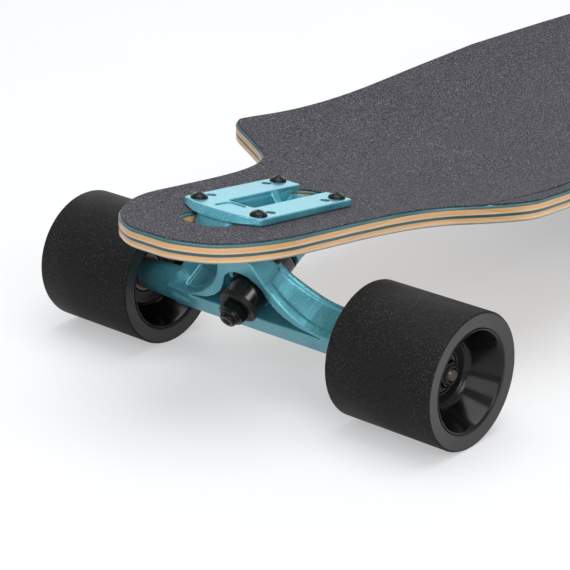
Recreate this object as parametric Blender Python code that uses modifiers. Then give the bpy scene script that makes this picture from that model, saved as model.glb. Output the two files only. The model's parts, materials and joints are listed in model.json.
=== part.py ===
"""Electric drop-through longboard, modelled as separate solids in metres.

+X points to the nose, +Y to the left rail, +Z up, and the wheels stand on z = 0.
Each truck is built in its own tilted frame, and the rear one is the front one turned round.
"""
import math

import bmesh
import bpy
from mathutils import Matrix, Vector

# ---------------------------------------------------------------- driving dimensions
GAP = 0.0003                    # clearance kept between solids that touch on the real board

WHEEL_RADIUS = 0.0369           # height of the axle over the ground
WHEEL_HALF_WIDTH = 0.03325
WHEEL_CENTRE_Y = 0.10415
WHEEL_FACETS = 32
TREAD_RADIUS = WHEEL_RADIUS / math.cos(math.pi / WHEEL_FACETS)

AXLE_X = 0.333                  # half of the wheelbase
PLATFORM_TOP = 0.0985           # top of the grip tape straight above the axle
PLATFORM_TILT = math.radians(7.0)
PLATFORM_LENGTH_IN = 0.080      # the platform stays flat this far inboard of the axle
ROCKER_RADIUS = 1.149           # bend between the platform and the flat middle
NOSE_REACH = 0.0897             # nose tip ahead of the axle
MIDDLE_HALF_WIDTH = 0.1095      # widest place, halfway along the board
FLAT_HALF_WIDTH = 0.030         # the deck is level across this half width
CONCAVE_RISE = 0.0142
CONCAVE_REACH = 0.077
CONCAVE_POWER = 1.6

GRIP_THICKNESS = 0.0007
DECK_THICKNESS = 0.0102
GRIP_BOTTOM = -GAP - GRIP_THICKNESS
DECK_TOP = GRIP_BOTTOM - GAP
DECK_BOTTOM = DECK_TOP - DECK_THICKNESS

BOLT_U = 0.03175                # half of the 63.5 mm bolt spacing
BOLT_V = 0.02065                # half of the 41.3 mm bolt spacing
PATTERN_SHIFT = -0.0015
SPARE_HOLE_STEP = 0.0097
SCREW_RADIUS = 0.0024
SCREW_HOLE = 0.0028
HEAD_RADIUS = 0.0047
SLOT_FRONT = 0.0580
SLOT_BACK = -0.0470
SLOT_HALF_WIDTH = 0.0145
SLOT_CORNER = 0.0085

FLANGE_THICKNESS = 0.0040
FLANGE_BACK = -0.0390
FLANGE_FRONT = 0.0362
FLANGE_HALF_WIDTH = 0.0272
CHANNEL_HALF_WIDTH = 0.0090
CHANNEL_FRONT = 0.0210
BODY_HALF_WIDTH = 0.0130
BODY_FRONT = 0.0440
BODY_BACK = -0.0315
BODY_DEPTH = 0.0120

STEER_ANGLE = math.radians(50.0)   # pivot axis above the platform
RAKE = 0.0070                      # the axle sits this far ahead of the pivot axis
AXLE_ALONG = -0.0217               # axle below the kingpin seat, along the pivot axis
PIVOT_ALONG = 0.0400               # middle of the pivot cup, along the pivot axis
PIVOT_RADIUS = 0.0052
CUP_RADIUS = 0.0080
CUP_HALF_LENGTH = 0.0064

KINGPIN_RADIUS = 0.00476
WEB_HALF = 0.00275
WEB_HOLE = 0.0066
BUSHING_RADIUS = 0.0120
ROADSIDE_HEIGHT = 0.0168
BOARDSIDE_HEIGHT = 0.0140
WASHER_THICKNESS = 0.0012
BUSHING_BORE = KINGPIN_RADIUS + GAP

AXLE_RADIUS = 0.0040
AXLE_HALF_LENGTH = 0.1254
AXLE_BORE = AXLE_RADIUS + GAP
BEARING_RADIUS = 0.0110
BEARING_WIDTH = 0.0070
BEARING_FACE = 0.0145           # outer face of each bearing from the middle of its wheel
HUB_STEP_RADIUS = 0.0200
HUB_RIM_RADIUS = 0.0279

ROTOR_RADIUS = 0.0306
ROTOR_INNER = 0.0264
STATOR_RADIUS = 0.0258
STATOR_BACK = -0.0295
STATOR_COLLAR_END = -0.0318

BOX_FRONT = 0.0950
BOX_BACK = -0.2100
BOX_HALF_WIDTH = 0.0720
BOX_BOTTOM = 0.0400
BOX_WALL = 0.0025
BOX_CORNER = 0.0180
GASKET_THICKNESS = 0.0020
BUTTON_X = -0.1400
BUTTON_Z = 0.0540
BUTTON_RADIUS = 0.0065
PORT_X = -0.1400
PORT_Z = 0.0525
PORT_RADIUS = 0.0070
COVER_HINGE_Z = 0.0632
COVER_HALF_WIDTH = 0.0100
COVER_LENGTH = 0.0190
COVER_THICKNESS = 0.0018
CABLE_RADIUS = 0.0026
CABLE_EXIT_Y = 0.0160
CABLE_EXIT_Z = 0.0560


# ---------------------------------------------------------------- scene helpers
def clear_scene():
    for obj in list(bpy.data.objects):
        bpy.data.objects.remove(obj, do_unlink=True)


def make_collection(name):
    collection = bpy.data.collections.new(name)
    bpy.context.scene.collection.children.link(collection)
    return collection


clear_scene()
BOARD = make_collection("electric_skateboard")
CUTTERS = make_collection("cutters")


def material(name, colour, roughness, metallic=0.0):
    made = bpy.data.materials.new(name)
    made.use_nodes = True
    shader = made.node_tree.nodes["Principled BSDF"]
    shader.inputs["Base Color"].default_value = (*colour, 1.0)
    shader.inputs["Roughness"].default_value = roughness
    shader.inputs["Metallic"].default_value = metallic
    return made


def axes_empty(name, location, rotation=(0.0, 0.0, 0.0), parent=None):
    empty = bpy.data.objects.new(name, None)
    empty.empty_display_size = 0.02
    BOARD.objects.link(empty)
    empty.parent = parent
    empty.location = location
    empty.rotation_euler = rotation
    return empty


def add(name, data, parent=None, location=(0.0, 0.0, 0.0), rotation=(0.0, 0.0, 0.0)):
    obj = bpy.data.objects.new(name, data)
    BOARD.objects.link(obj)
    obj.parent = parent
    obj.location = location
    obj.rotation_euler = rotation
    return obj


def as_cutter(obj):
    BOARD.objects.unlink(obj)
    CUTTERS.objects.link(obj)
    obj.hide_render = True
    obj.display_type = "WIRE"
    return obj


def combine(obj, others, operation):
    """Join, cut or intersect obj with each of the others, which become cutters."""
    for other in others:
        as_cutter(other)
        step = obj.modifiers.new(other.name, "BOOLEAN")
        step.operation = operation
        step.solver = "EXACT"
        step.object = other
    return obj


def cut(obj, others):
    return combine(obj, others, "DIFFERENCE")


def bevel(obj, width, segments=2, angle=40.0):
    step = obj.modifiers.new("edge", "BEVEL")
    step.width = width
    step.segments = segments
    step.limit_method = "ANGLE"
    step.angle_limit = math.radians(angle)
    return obj


def finish(obj, slot):
    obj.data.materials.append(slot)
    return obj


# ---------------------------------------------------------------- shape helpers
def block(name, low, high, parent=None, location=(0.0, 0.0, 0.0), rotation=(0.0, 0.0, 0.0)):
    """A box between two corners of its parent's frame."""
    low = Vector(low)
    high = Vector(high)
    shape = bmesh.new()
    place = Matrix.Translation((low + high) / 2) @ Matrix.Diagonal((*(high - low), 1.0))
    bmesh.ops.create_cube(shape, size=1.0, matrix=place)
    mesh = bpy.data.meshes.new(name)
    shape.to_mesh(mesh)
    shape.free()
    return add(name, mesh, parent, location, rotation)


def rod(name, radius, start, end, parent=None, sides=20, radius_end=None):
    """A cylinder or cone from start to end, in its parent's frame."""
    start = Vector(start)
    end = Vector(end)
    along = end - start
    shape = bmesh.new()
    bmesh.ops.create_cone(shape, cap_ends=True, segments=sides, radius1=radius,
                          radius2=radius if radius_end is None else radius_end, depth=along.length)
    mesh = bpy.data.meshes.new(name)
    shape.to_mesh(mesh)
    shape.free()
    turn = along.to_track_quat("Z", "Y").to_euler()
    return add(name, mesh, parent, (start + end) / 2, turn)


def turned(name, profile, steps, parent=None, location=(0.0, 0.0, 0.0), rotation=(0.0, 0.0, 0.0),
           closed=True, turn=0.0):
    """A shape turned about its own Z. The profile runs top to bottom down its outer side."""
    shape = bmesh.new()
    spin = Matrix.Rotation(turn, 4, "Z")
    corners = [shape.verts.new(spin @ Vector((radius, 0.0, height))) for radius, height in profile]
    for first, second in zip(corners, corners[1:]):
        shape.edges.new((first, second))
    if closed:
        shape.edges.new((corners[-1], corners[0]))
    mesh = bpy.data.meshes.new(name)
    shape.to_mesh(mesh)
    shape.free()
    obj = add(name, mesh, parent, location, rotation)
    screw = obj.modifiers.new("turn", "SCREW")
    screw.angle = math.tau
    screw.steps = steps
    screw.render_steps = steps
    screw.use_merge_vertices = True
    screw.merge_threshold = 0.00001
    return obj


def arc(centre, radius, start, end, count):
    """Points on a circle from one angle to another, both ends included, angles in degrees."""
    points = []
    for index in range(count):
        angle = math.radians(start + (end - start) * index / (count - 1))
        points.append((centre[0] + radius * math.cos(angle), centre[1] + radius * math.sin(angle)))
    return points


def rounded_box(back, front, half_width, corner, count=6):
    """Outline of a rectangle with rounded corners."""
    inner = half_width - corner
    return (arc((front - corner, inner), corner, 0, 90, count)
            + arc((back + corner, inner), corner, 90, 180, count)
            + arc((back + corner, -inner), corner, 180, 270, count)
            + arc((front - corner, -inner), corner, 270, 360, count))


def circle(centre, radius, count=16):
    return arc(centre, radius, 0, 360 - 360 / count, count)


def prism(name, outlines, low, high, parent=None, location=(0.0, 0.0, 0.0), rotation=(0.0, 0.0, 0.0)):
    """Flat outlines, filled and raised from low to high along the object's own Z.

    An outline inside another one makes a hole. The curve is turned into a mesh, so it can be cut.
    """
    curve = bpy.data.curves.new(name + "_outline", "CURVE")
    curve.dimensions = "2D"
    curve.fill_mode = "BOTH"
    curve.extrude = (high - low) / 2
    for outline in outlines:
        spline = curve.splines.new("POLY")
        spline.points.add(len(outline) - 1)
        for point, (x, y) in zip(spline.points, outline):
            point.co = (x, y, 0.0, 1.0)
        spline.use_cyclic_u = True
    source = bpy.data.objects.new(name + "_outline", curve)
    BOARD.objects.link(source)
    bpy.context.view_layer.update()
    graph = bpy.context.evaluated_depsgraph_get()
    mesh = bpy.data.meshes.new_from_object(source.evaluated_get(graph))
    bpy.data.objects.remove(source, do_unlink=True)
    shape = bmesh.new()
    shape.from_mesh(mesh)
    bmesh.ops.remove_doubles(shape, verts=shape.verts, dist=0.00001)
    bmesh.ops.translate(shape, verts=shape.verts, vec=(0.0, 0.0, (high + low) / 2))
    bmesh.ops.recalc_face_normals(shape, faces=shape.faces)
    shape.to_mesh(mesh)
    shape.free()
    return add(name, mesh, parent, location, rotation)


def tube(name, route, radius, parent=None):
    """A round cable through the route's points, smoothed by a Catmull-Rom curve."""
    points = [Vector(point) for point in route]
    points = [2 * points[0] - points[1]] + points + [2 * points[-1] - points[-2]]
    smooth = []
    for before, first, second, after in zip(points, points[1:], points[2:], points[3:]):
        count = max(2, round((second - first).length / (radius * 5)))
        for index in range(count):
            t = index / count
            smooth.append(0.5 * (2 * first + (second - before) * t
                                 + (2 * before - 5 * first + 4 * second - after) * t ** 2
                                 + (3 * first - before - 3 * second + after) * t ** 3))
    smooth.append(points[-2])
    curve = bpy.data.curves.new(name, "CURVE")
    curve.dimensions = "3D"
    curve.bevel_depth = radius
    curve.bevel_resolution = 2
    curve.use_fill_caps = True
    spline = curve.splines.new("POLY")
    spline.points.add(len(smooth) - 1)
    for point, place in zip(spline.points, smooth):
        point.co = (*place, 1.0)
    return add(name, curve, parent)


# ---------------------------------------------------------------- the deck
def deck_rise(x, y):
    """Height of the riding surface over the middle of the board."""
    flat_end = AXLE_X - PLATFORM_LENGTH_IN
    flat_start = flat_end - ROCKER_RADIUS * math.sin(PLATFORM_TILT)
    bent = min(max(abs(x) - flat_start, 0.0), flat_end - flat_start)
    rise = ROCKER_RADIUS - math.sqrt(ROCKER_RADIUS ** 2 - bent ** 2)
    rise += max(abs(x) - flat_end, 0.0) * math.tan(PLATFORM_TILT)
    side = max(abs(y) - FLAT_HALF_WIDTH, 0.0) / CONCAVE_REACH
    return rise + CONCAVE_RISE * side ** CONCAVE_POWER


MIDDLE_TOP = PLATFORM_TOP - deck_rise(AXLE_X, 0.0)


def deck_height(x, y, offset):
    return MIDDLE_TOP + deck_rise(x, y) + offset


def slab(name, low, high, columns=34, rows=13, half_length=0.44, half_width=0.13):
    """A rectangle that follows the deck's bend, between two offsets from its top."""
    shape = bmesh.new()
    bmesh.ops.create_grid(shape, x_segments=columns, y_segments=rows, size=1.0,
                          matrix=Matrix.Diagonal((half_length, half_width, 1.0, 1.0)))
    top = list(shape.faces)
    for vert in shape.verts:
        vert.co.z = deck_height(vert.co.x, vert.co.y, high)
    raised = bmesh.ops.extrude_face_region(shape, geom=top)
    for item in raised["geom"]:
        if isinstance(item, bmesh.types.BMVert):
            item.co.z = deck_height(item.co.x, item.co.y, low)
    bmesh.ops.recalc_face_normals(shape, faces=shape.faces)
    mesh = bpy.data.meshes.new(name)
    shape.to_mesh(mesh)
    shape.free()
    return add(name, mesh)


def smooth_quarter(corners, per_span=4):
    """A Catmull-Rom line through the corners, without its last point."""
    points = [Vector(corner) for corner in corners]
    points = [2 * points[0] - points[1]] + points + [2 * points[-1] - points[-2]]
    line = []
    for before, first, second, after in zip(points, points[1:], points[2:], points[3:]):
        for index in range(per_span):
            t = index / per_span
            line.append(0.5 * (2 * first + (second - before) * t
                               + (2 * before - 5 * first + 4 * second - after) * t ** 2
                               + (3 * first - before - 3 * second + after) * t ** 3))
    return line


def deck_outline(inset):
    """The whole outline, from a quarter that starts at the nose tip and ends at the mid rail."""
    nose = [(NOSE_REACH, 0.0), (0.0884, 0.0150), (0.0785, 0.0315), (0.0625, 0.0435),
            (0.0410, 0.0505), (0.0135, 0.0517), (-0.0175, 0.0526), (-0.0430, 0.0550),
            (-0.0620, 0.0602), (-0.0745, 0.0690), (-0.0830, 0.0850), (-0.0895, 0.1005)]
    tip = [(-0.0950, 0.1060), (-0.1040, 0.1072)]
    rail = [(-0.1350, 0.1052), (-0.1650, 0.1044), (-0.2100, 0.1051), (-0.2700, 0.1075),
            (-AXLE_X, MIDDLE_HALF_WIDTH)]
    quarter = smooth_quarter(nose + tip + rail)
    quarter = [Vector((AXLE_X + point.x, point.y)) for point in quarter]
    half = quarter + [Vector((0.0, MIDDLE_HALF_WIDTH))]
    half += [Vector((-point.x, point.y)) for point in reversed(quarter)]
    ring = half + [Vector((point.x, -point.y)) for point in reversed(half[1:-1])]
    if inset == 0.0:
        return [tuple(point) for point in ring]
    moved = []
    for before, here, after in zip([ring[-1]] + ring, ring, ring[1:] + ring[:1]):
        along = (after - before).normalized()
        moved.append((here.x - along.y * inset, here.y + along.x * inset))
    return moved


def bolt_places():
    return [(PATTERN_SHIFT + u * BOLT_U, v * BOLT_V) for u in (1, -1) for v in (1, -1)]


def spare_places():
    return [(PATTERN_SHIFT + u * (BOLT_U - SPARE_HOLE_STEP), v * BOLT_V) for u in (1, -1) for v in (1, -1)]


def truck_openings(name, truck):
    """The slot and screw holes that one truck needs through the deck or the grip."""
    slot = rounded_box(SLOT_BACK, SLOT_FRONT, SLOT_HALF_WIDTH, SLOT_CORNER)
    holes = [circle(place, SCREW_HOLE, 12) for place in bolt_places()]
    return prism(name, [slot] + holes, -0.03, 0.01, truck)


def deck_layers(trucks):
    maple = material("maple_ply", (0.62, 0.40, 0.20), 0.45)
    grit = material("grip_tape", (0.10, 0.10, 0.12), 0.95)
    deck = slab("deck", DECK_BOTTOM, DECK_TOP)
    combine(deck, [prism("deck_shape", [deck_outline(0.0)], 0.0, 0.2)], "INTERSECT")
    cut(deck, [truck_openings(f"{end}_deck_openings", truck) for end, truck in trucks.items()])
    finish(deck, maple)
    grip = slab("grip_tape", GRIP_BOTTOM, GRIP_BOTTOM + GRIP_THICKNESS)
    combine(grip, [prism("grip_shape", [deck_outline(0.0008)], 0.0, 0.2)], "INTERSECT")
    cut(grip, [truck_openings(f"{end}_grip_openings", truck) for end, truck in trucks.items()])
    cut(grip, [grip_line("front", 0.0), grip_line("rear", math.pi)])
    finish(grip, grit)


def grip_line(end, turn):
    """The curved cut that bares a thin wedge of the deck along one rail, open at the rail."""
    inner = [(0.2620, 0.0812), (0.2380, 0.0845), (0.2220, 0.0868), (0.2060, 0.0886), (0.1900, 0.0893),
             (0.1650, 0.0890), (0.1400, 0.0882)]
    outer = [(0.1650, 0.0924), (0.1900, 0.0930), (0.2060, 0.0915), (0.2220, 0.0890), (0.2380, 0.0863),
             (0.2620, 0.0835)]
    return prism(f"{end}_grip_line", [inner + outer], 0.0, 0.2, rotation=(0.0, 0.0, turn))


# ---------------------------------------------------------------- a truck
def truck_frame(end, turn):
    place = (AXLE_X * math.cos(turn), 0.0, PLATFORM_TOP)
    return axes_empty(f"{end}_truck_frame", place, (0.0, -PLATFORM_TILT, turn))


def seat_place():
    """The middle of the hanger's kingpin seat in the truck frame, worked out from the axle."""
    drop = PLATFORM_TOP - WHEEL_RADIUS
    axle = Vector((-drop * math.sin(PLATFORM_TILT), 0.0, -drop * math.cos(PLATFORM_TILT)))
    ahead = Vector((math.sin(STEER_ANGLE), 0.0, -math.cos(STEER_ANGLE)))
    along = Vector((math.cos(STEER_ANGLE), 0.0, math.sin(STEER_ANGLE)))
    return axle - RAKE * ahead - AXLE_ALONG * along


def steer_frame(name, truck):
    """X runs down the kingpin, Y to the side and Z up the pivot axis."""
    return axes_empty(name, seat_place(), (0.0, math.pi / 2 - STEER_ANGLE, 0.0), truck)


ALONG_X = (0.0, math.pi / 2, 0.0)
FACING_X = (math.pi / 2, 0.0, math.pi / 2)


def baseplate(end, truck, fixed, paint):
    """Cast plate over the deck with a channel, a kingpin boss and a socket for the pivot below it."""
    name = f"{end}_baseplate"
    front = [(FLANGE_FRONT - 0.0010, -FLANGE_HALF_WIDTH), (FLANGE_FRONT, -FLANGE_HALF_WIDTH + 0.002),
             (FLANGE_FRONT + 0.0022, -0.012), (FLANGE_FRONT + 0.0028, 0.0)]
    front += [(u, -v) for u, v in reversed(front[:-1])]
    back = [(FLANGE_BACK, FLANGE_HALF_WIDTH), (FLANGE_BACK, CHANNEL_HALF_WIDTH),
            (CHANNEL_FRONT, CHANNEL_HALF_WIDTH), (CHANNEL_FRONT, -CHANNEL_HALF_WIDTH),
            (FLANGE_BACK, -CHANNEL_HALF_WIDTH), (FLANGE_BACK, -FLANGE_HALF_WIDTH)]
    plate = prism(name, [front + back], 0.0, FLANGE_THICKNESS, truck)
    bevel(plate, 0.0007)
    nose = (arc((BODY_FRONT - 0.006, BODY_HALF_WIDTH - 0.006), 0.006, 0, 90, 4)
            + [(BODY_BACK, BODY_HALF_WIDTH), (BODY_BACK, CHANNEL_HALF_WIDTH - 0.0004),
               (CHANNEL_FRONT - 0.0004, CHANNEL_HALF_WIDTH - 0.0004)])
    nose += [(u, -v) for u, v in reversed(nose)]
    channel = prism(f"{name}_channel", [nose], -BODY_DEPTH, FLANGE_THICKNESS - 0.0016, truck)
    boss = rod(f"{name}_boss", 0.0122, (-0.0195, 0, 0), (-0.0500, 0, 0), fixed, 28)
    neck = block(f"{name}_neck", (-0.0400, -0.0115, -0.0060), (-0.0240, 0.0115, 0.0120), fixed)
    bridge = block(f"{name}_bridge", (-0.0290, -0.0100, -0.0160), (0.0280, 0.0100, -0.0060), truck)
    web = block(f"{name}_web", (-0.0028, -0.0105, -0.0085), (0.0028, 0.0105, 0.0020), truck,
                (-0.0160, 0.0, -0.0040), (0.0, math.radians(-35.0), 0.0))
    socket = rod(f"{name}_socket", CUP_RADIUS + 0.0024, (0, 0, PIVOT_ALONG - CUP_HALF_LENGTH - 0.0006),
                 (0, 0, PIVOT_ALONG + CUP_HALF_LENGTH + 0.0030), fixed, 24)
    combine(plate, [channel, boss, neck, bridge, web, socket], "UNION")
    bore = rod(f"{name}_kingpin_bore", KINGPIN_RADIUS + GAP, (-0.0100, 0, 0), (-0.0700, 0, 0), fixed, 20)
    seat = rod(f"{name}_head_seat", 0.0083, (-0.0450, 0, 0), (-0.0900, 0, 0), fixed, 24)
    cup = rod(f"{name}_cup_bore", CUP_RADIUS + GAP, (0, 0, PIVOT_ALONG + CUP_HALF_LENGTH + GAP),
              (0, 0, PIVOT_ALONG - 0.0200), fixed, 24)
    holes = [rod(f"{name}_hole_{index}", SCREW_HOLE, (u, v, -0.002), (u, v, 0.008), truck, 12)
             for index, (u, v) in enumerate(bolt_places() + spare_places())]
    cut(plate, [bore, seat, cup] + holes)
    return finish(plate, paint)


def kingpin_stack(end, fixed, steel, rubber):
    """Kingpin, nut, bushings, washers and pivot cup, all on the baseplate."""
    head = -0.0500
    tip = 0.0312
    pin = [(0.0, tip), (KINGPIN_RADIUS - 0.0006, tip), (KINGPIN_RADIUS, tip - 0.0006),
           (KINGPIN_RADIUS, -0.0455), (0.0078, -0.0455), (0.0078, head), (0.0, head)]
    finish(turned(f"{end}_kingpin", pin, 20, fixed, rotation=ALONG_X, closed=False), steel)
    low = WEB_HALF + GAP
    high = low + ROADSIDE_HEIGHT
    cone = [(0.0100, high), (BUSHING_RADIUS, low + 0.001), (BUSHING_RADIUS - 0.001, low),
            (BUSHING_BORE, low), (BUSHING_BORE, high)]
    finish(turned(f"{end}_roadside_bushing", cone, 24, fixed, rotation=ALONG_X), rubber)
    flat = -low - BOARDSIDE_HEIGHT
    barrel = [(BUSHING_RADIUS, -low), (BUSHING_RADIUS + 0.0004, -low - 0.006), (BUSHING_RADIUS, flat),
              (BUSHING_BORE, flat), (BUSHING_BORE, -low)]
    finish(turned(f"{end}_boardside_bushing", barrel, 24, fixed, rotation=ALONG_X), rubber)
    base = high + GAP
    washer = [(0.0109, base + WASHER_THICKNESS), (0.0115, base + 0.0006), (0.0115, base - 0.0016),
              (0.0108, base - 0.0016), (0.0105, base), (BUSHING_BORE, base),
              (BUSHING_BORE, base + WASHER_THICKNESS)]
    finish(turned(f"{end}_roadside_washer", washer, 28, fixed, rotation=ALONG_X), steel)
    flat -= GAP
    plate = [(0.0122, flat), (0.0122, flat - WASHER_THICKNESS), (BUSHING_BORE, flat - WASHER_THICKNESS),
             (BUSHING_BORE, flat)]
    finish(turned(f"{end}_boardside_washer", plate, 28, fixed, rotation=ALONG_X), steel)
    nut_low = base + WASHER_THICKNESS + GAP
    hex_nut(f"{end}_kingpin_nut", 0.0082, BUSHING_BORE, nut_low, nut_low + 0.0072, fixed, ALONG_X, steel)
    cup = [(CUP_RADIUS, CUP_HALF_LENGTH), (CUP_RADIUS, -CUP_HALF_LENGTH),
           (PIVOT_RADIUS + GAP, -CUP_HALF_LENGTH), (PIVOT_RADIUS + GAP, CUP_HALF_LENGTH)]
    finish(turned(f"{end}_pivot_cup", cup, 24, fixed, (0.0, 0.0, PIVOT_ALONG)), rubber)


def sides(end):
    """Left and right of the board as steps along a truck's own Y. The rear truck faces back."""
    return (("left", 1), ("right", -1)) if end == "front" else (("left", -1), ("right", 1))


def mount_screws(end, truck, steel):
    """Four screws through plate, grip and deck, each with its nut as one solid."""
    under_nut = DECK_BOTTOM - GAP
    top = FLANGE_THICKNESS + GAP
    nut_end = under_nut - 0.0042
    tip = under_nut - 0.0062
    profile = [(0.0, top + 0.0026), (0.0020, top + 0.0025), (0.0037, top + 0.0017),
               (HEAD_RADIUS, top + 0.0004), (HEAD_RADIUS, top), (SCREW_RADIUS, top),
               (SCREW_RADIUS, under_nut), (0.0045, under_nut), (0.0045, nut_end),
               (SCREW_RADIUS, nut_end), (SCREW_RADIUS, tip), (0.0, tip)]
    names = {way: side for side, way in sides(end)}
    for u, v in bolt_places():
        corner = ("outer_" if u > 0 else "inner_") + names[1 if v > 0 else -1]
        finish(turned(f"{end}_mount_screw_{corner}", profile, 14, truck, (u, v, 0.0), closed=False), steel)


def hanger_outline():
    """Outline of the hanger, seen down the kingpin."""
    right = [(0.0, 0.0270), (0.0080, 0.0260), (0.0118, 0.0225), (0.0150, 0.0165), (0.0172, 0.0118),
             (0.0200, 0.0065), (0.0240, 0.0015), (0.0300, -0.0038), (0.0370, -0.0088), (0.0450, -0.0118),
             (0.0540, -0.0130), (0.0640, -0.0132), (0.0640, -0.0292), (0.0, -0.0292)]
    return right[:-1] + [(-y, s) for y, s in reversed(right[1:-1])]


def hanger(end, swing, reach, paint):
    """Cast arm with a beam over the axle, a pocket for the bushing and the pivot nose on top."""
    name = f"{end}_hanger"
    back = -0.0065 if end == "front" else -0.0040      # the rear arms leave room for the motor cables
    body = prism(name, [hanger_outline()], back, 0.0155, swing, rotation=FACING_X)
    bevel(body, 0.0022, 3)
    ends = [rod(f"{name}_{side}_end", 0.0100, (RAKE, way * 0.0560, AXLE_ALONG),
                (RAKE, way * reach, AXLE_ALONG), swing, 24, 0.0084) for side, way in sides(end)]
    neck = rod(f"{name}_neck", 0.0098, (0.0020, 0, 0.0080), (0, 0, PIVOT_ALONG - 0.0110), swing, 24, 0.0066)
    nose = rod(f"{name}_pivot", PIVOT_RADIUS, (0, 0, 0.0200), (0, 0, PIVOT_ALONG + 0.0055), swing, 20)
    combine(body, ends + [neck, nose], "UNION")
    wall = [(0.0150, 0.0035), (0.0190, -0.0025), (0.0250, -0.0078), (0.0330, -0.0120), (0.0450, -0.0150),
            (0.0450, -0.0154)]
    pocket = arc((0.0, 0.0), 0.0152, 165, 15, 9) + wall + [(-y, s) for y, s in reversed(wall)]
    hollow = prism(f"{name}_pocket", [pocket], 0.0005, 0.0300, swing, rotation=FACING_X)
    slope = [(0.0300, -0.0120), (0.0155, -0.0120), (0.0142, -0.0050), (0.0128, 0.0015), (0.0114, 0.0065),
             (0.0101, 0.0140), (0.0070, 0.0290), (0.0300, 0.0290)]
    front = prism(f"{name}_front", [[(k, -s) for k, s in slope]], -0.0600, 0.0600, swing,
                  rotation=(-math.pi / 2, 0.0, 0.0))
    relief = block(f"{name}_relief", (-0.0100, -0.0165, -0.0010), (-0.0040, 0.0165, 0.0400), swing)
    cut(body, [hollow, front, relief])
    ring = [(0.0148, 0.0062), (0.0148, -WEB_HALF), (0.0050, -WEB_HALF), (0.0050, 0.0062)]
    seat = turned(f"{name}_seat", ring, 28, swing, rotation=ALONG_X)
    combine(body, [seat], "UNION")
    front_seat = rod(f"{name}_front_seat", 0.0128, (WEB_HALF, 0, 0), (0.03, 0, 0), swing, 28)
    back_seat = rod(f"{name}_back_seat", 0.0150, (-WEB_HALF, 0, 0), (-0.03, 0, 0), swing, 28)
    hole = rod(f"{name}_seat_hole", WEB_HOLE, (-0.02, 0, 0), (0.02, 0, 0), swing, 24)
    bore = rod(f"{name}_axle_bore", AXLE_BORE, (RAKE, -0.15, AXLE_ALONG), (RAKE, 0.15, AXLE_ALONG), swing, 16)
    cut(body, [front_seat, back_seat, hole, bore])
    return finish(body, paint)


def hex_nut(name, corner, bore, low, high, parent, rotation, steel):
    nut = prism(name, [circle((0.0, 0.0), corner, 6), circle((0.0, 0.0), bore, 16)], low, high, parent,
                rotation=rotation)
    return finish(nut, steel)


def axle_and_nuts(end, swing, steel):
    middle = Vector((RAKE, 0.0, AXLE_ALONG))
    tip = Vector((0.0, AXLE_HALF_LENGTH, 0.0))
    finish(rod(f"{end}_axle", AXLE_RADIUS, middle - tip, middle + tip, swing, 16), steel)
    face = WHEEL_CENTRE_Y + BEARING_FACE + GAP
    for side, way in sides(end):
        lay = (-way * math.pi / 2, 0.0, 0.0)
        nut = hex_nut(f"{end}_{side}_axle_nut", 0.0075, AXLE_BORE, 0.0, 0.0056, swing, lay, steel)
        nut.location = middle + Vector((0.0, way * face, 0.0))


# ---------------------------------------------------------------- wheels
def wheel_turn(way):
    """Turns a wheel in its tilted frame so that a flat of the tread faces the ground."""
    return way * (STEER_ANGLE + PLATFORM_TILT) + math.pi / WHEEL_FACETS


def tyre(name, inner_rim, inner_middle, hub, way, urethane):
    lip = TREAD_RADIUS - 0.0010
    edge = WHEEL_HALF_WIDTH
    profile = [(lip, edge), (TREAD_RADIUS, edge - 0.0010), (TREAD_RADIUS, -edge + 0.0010), (lip, -edge),
               (inner_rim, -edge), (inner_middle, -0.0210), (inner_middle, 0.0210), (inner_rim, edge)]
    lay = (-way * math.pi / 2, 0.0, 0.0)
    obj = turned(name, profile, WHEEL_FACETS, hub, rotation=lay, turn=wheel_turn(way))
    return finish(obj, urethane)


def front_wheel(side, way, hub, urethane, core_plastic, shield):
    rim = HUB_RIM_RADIUS
    tyre(f"front_{side}_tyre", rim + GAP, 0.0248, hub, way, urethane)
    lay = (-way * math.pi / 2, 0.0, 0.0)
    seat = BEARING_RADIUS + GAP
    shoulder = BEARING_FACE - BEARING_WIDTH - GAP
    half = [(HUB_STEP_RADIUS, 0.0160), (HUB_STEP_RADIUS - 0.0008, BEARING_FACE), (seat, BEARING_FACE),
            (seat, shoulder), (0.0092, shoulder)]
    inner = [(radius, -height) for radius, height in half] + list(reversed(half))
    profile = [(rim, 0.0329), (0.0245, 0.0209), (0.0245, -0.0209), (rim, -0.0329), (rim - 0.0007, -0.0329)]
    profile += inner + [(rim - 0.0007, 0.0329)]
    finish(turned(f"front_{side}_wheel_core", profile, WHEEL_FACETS, hub, rotation=lay), core_plastic)
    for face, sign in (("outer", 1), ("inner", -1)):
        high = BEARING_FACE if sign > 0 else -BEARING_FACE + BEARING_WIDTH
        ring = [(BEARING_RADIUS, high), (BEARING_RADIUS, high - BEARING_WIDTH),
                (AXLE_BORE, high - BEARING_WIDTH), (AXLE_BORE, high)]
        finish(turned(f"front_{side}_{face}_bearing", ring, 20, hub, rotation=lay), shield)


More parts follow.
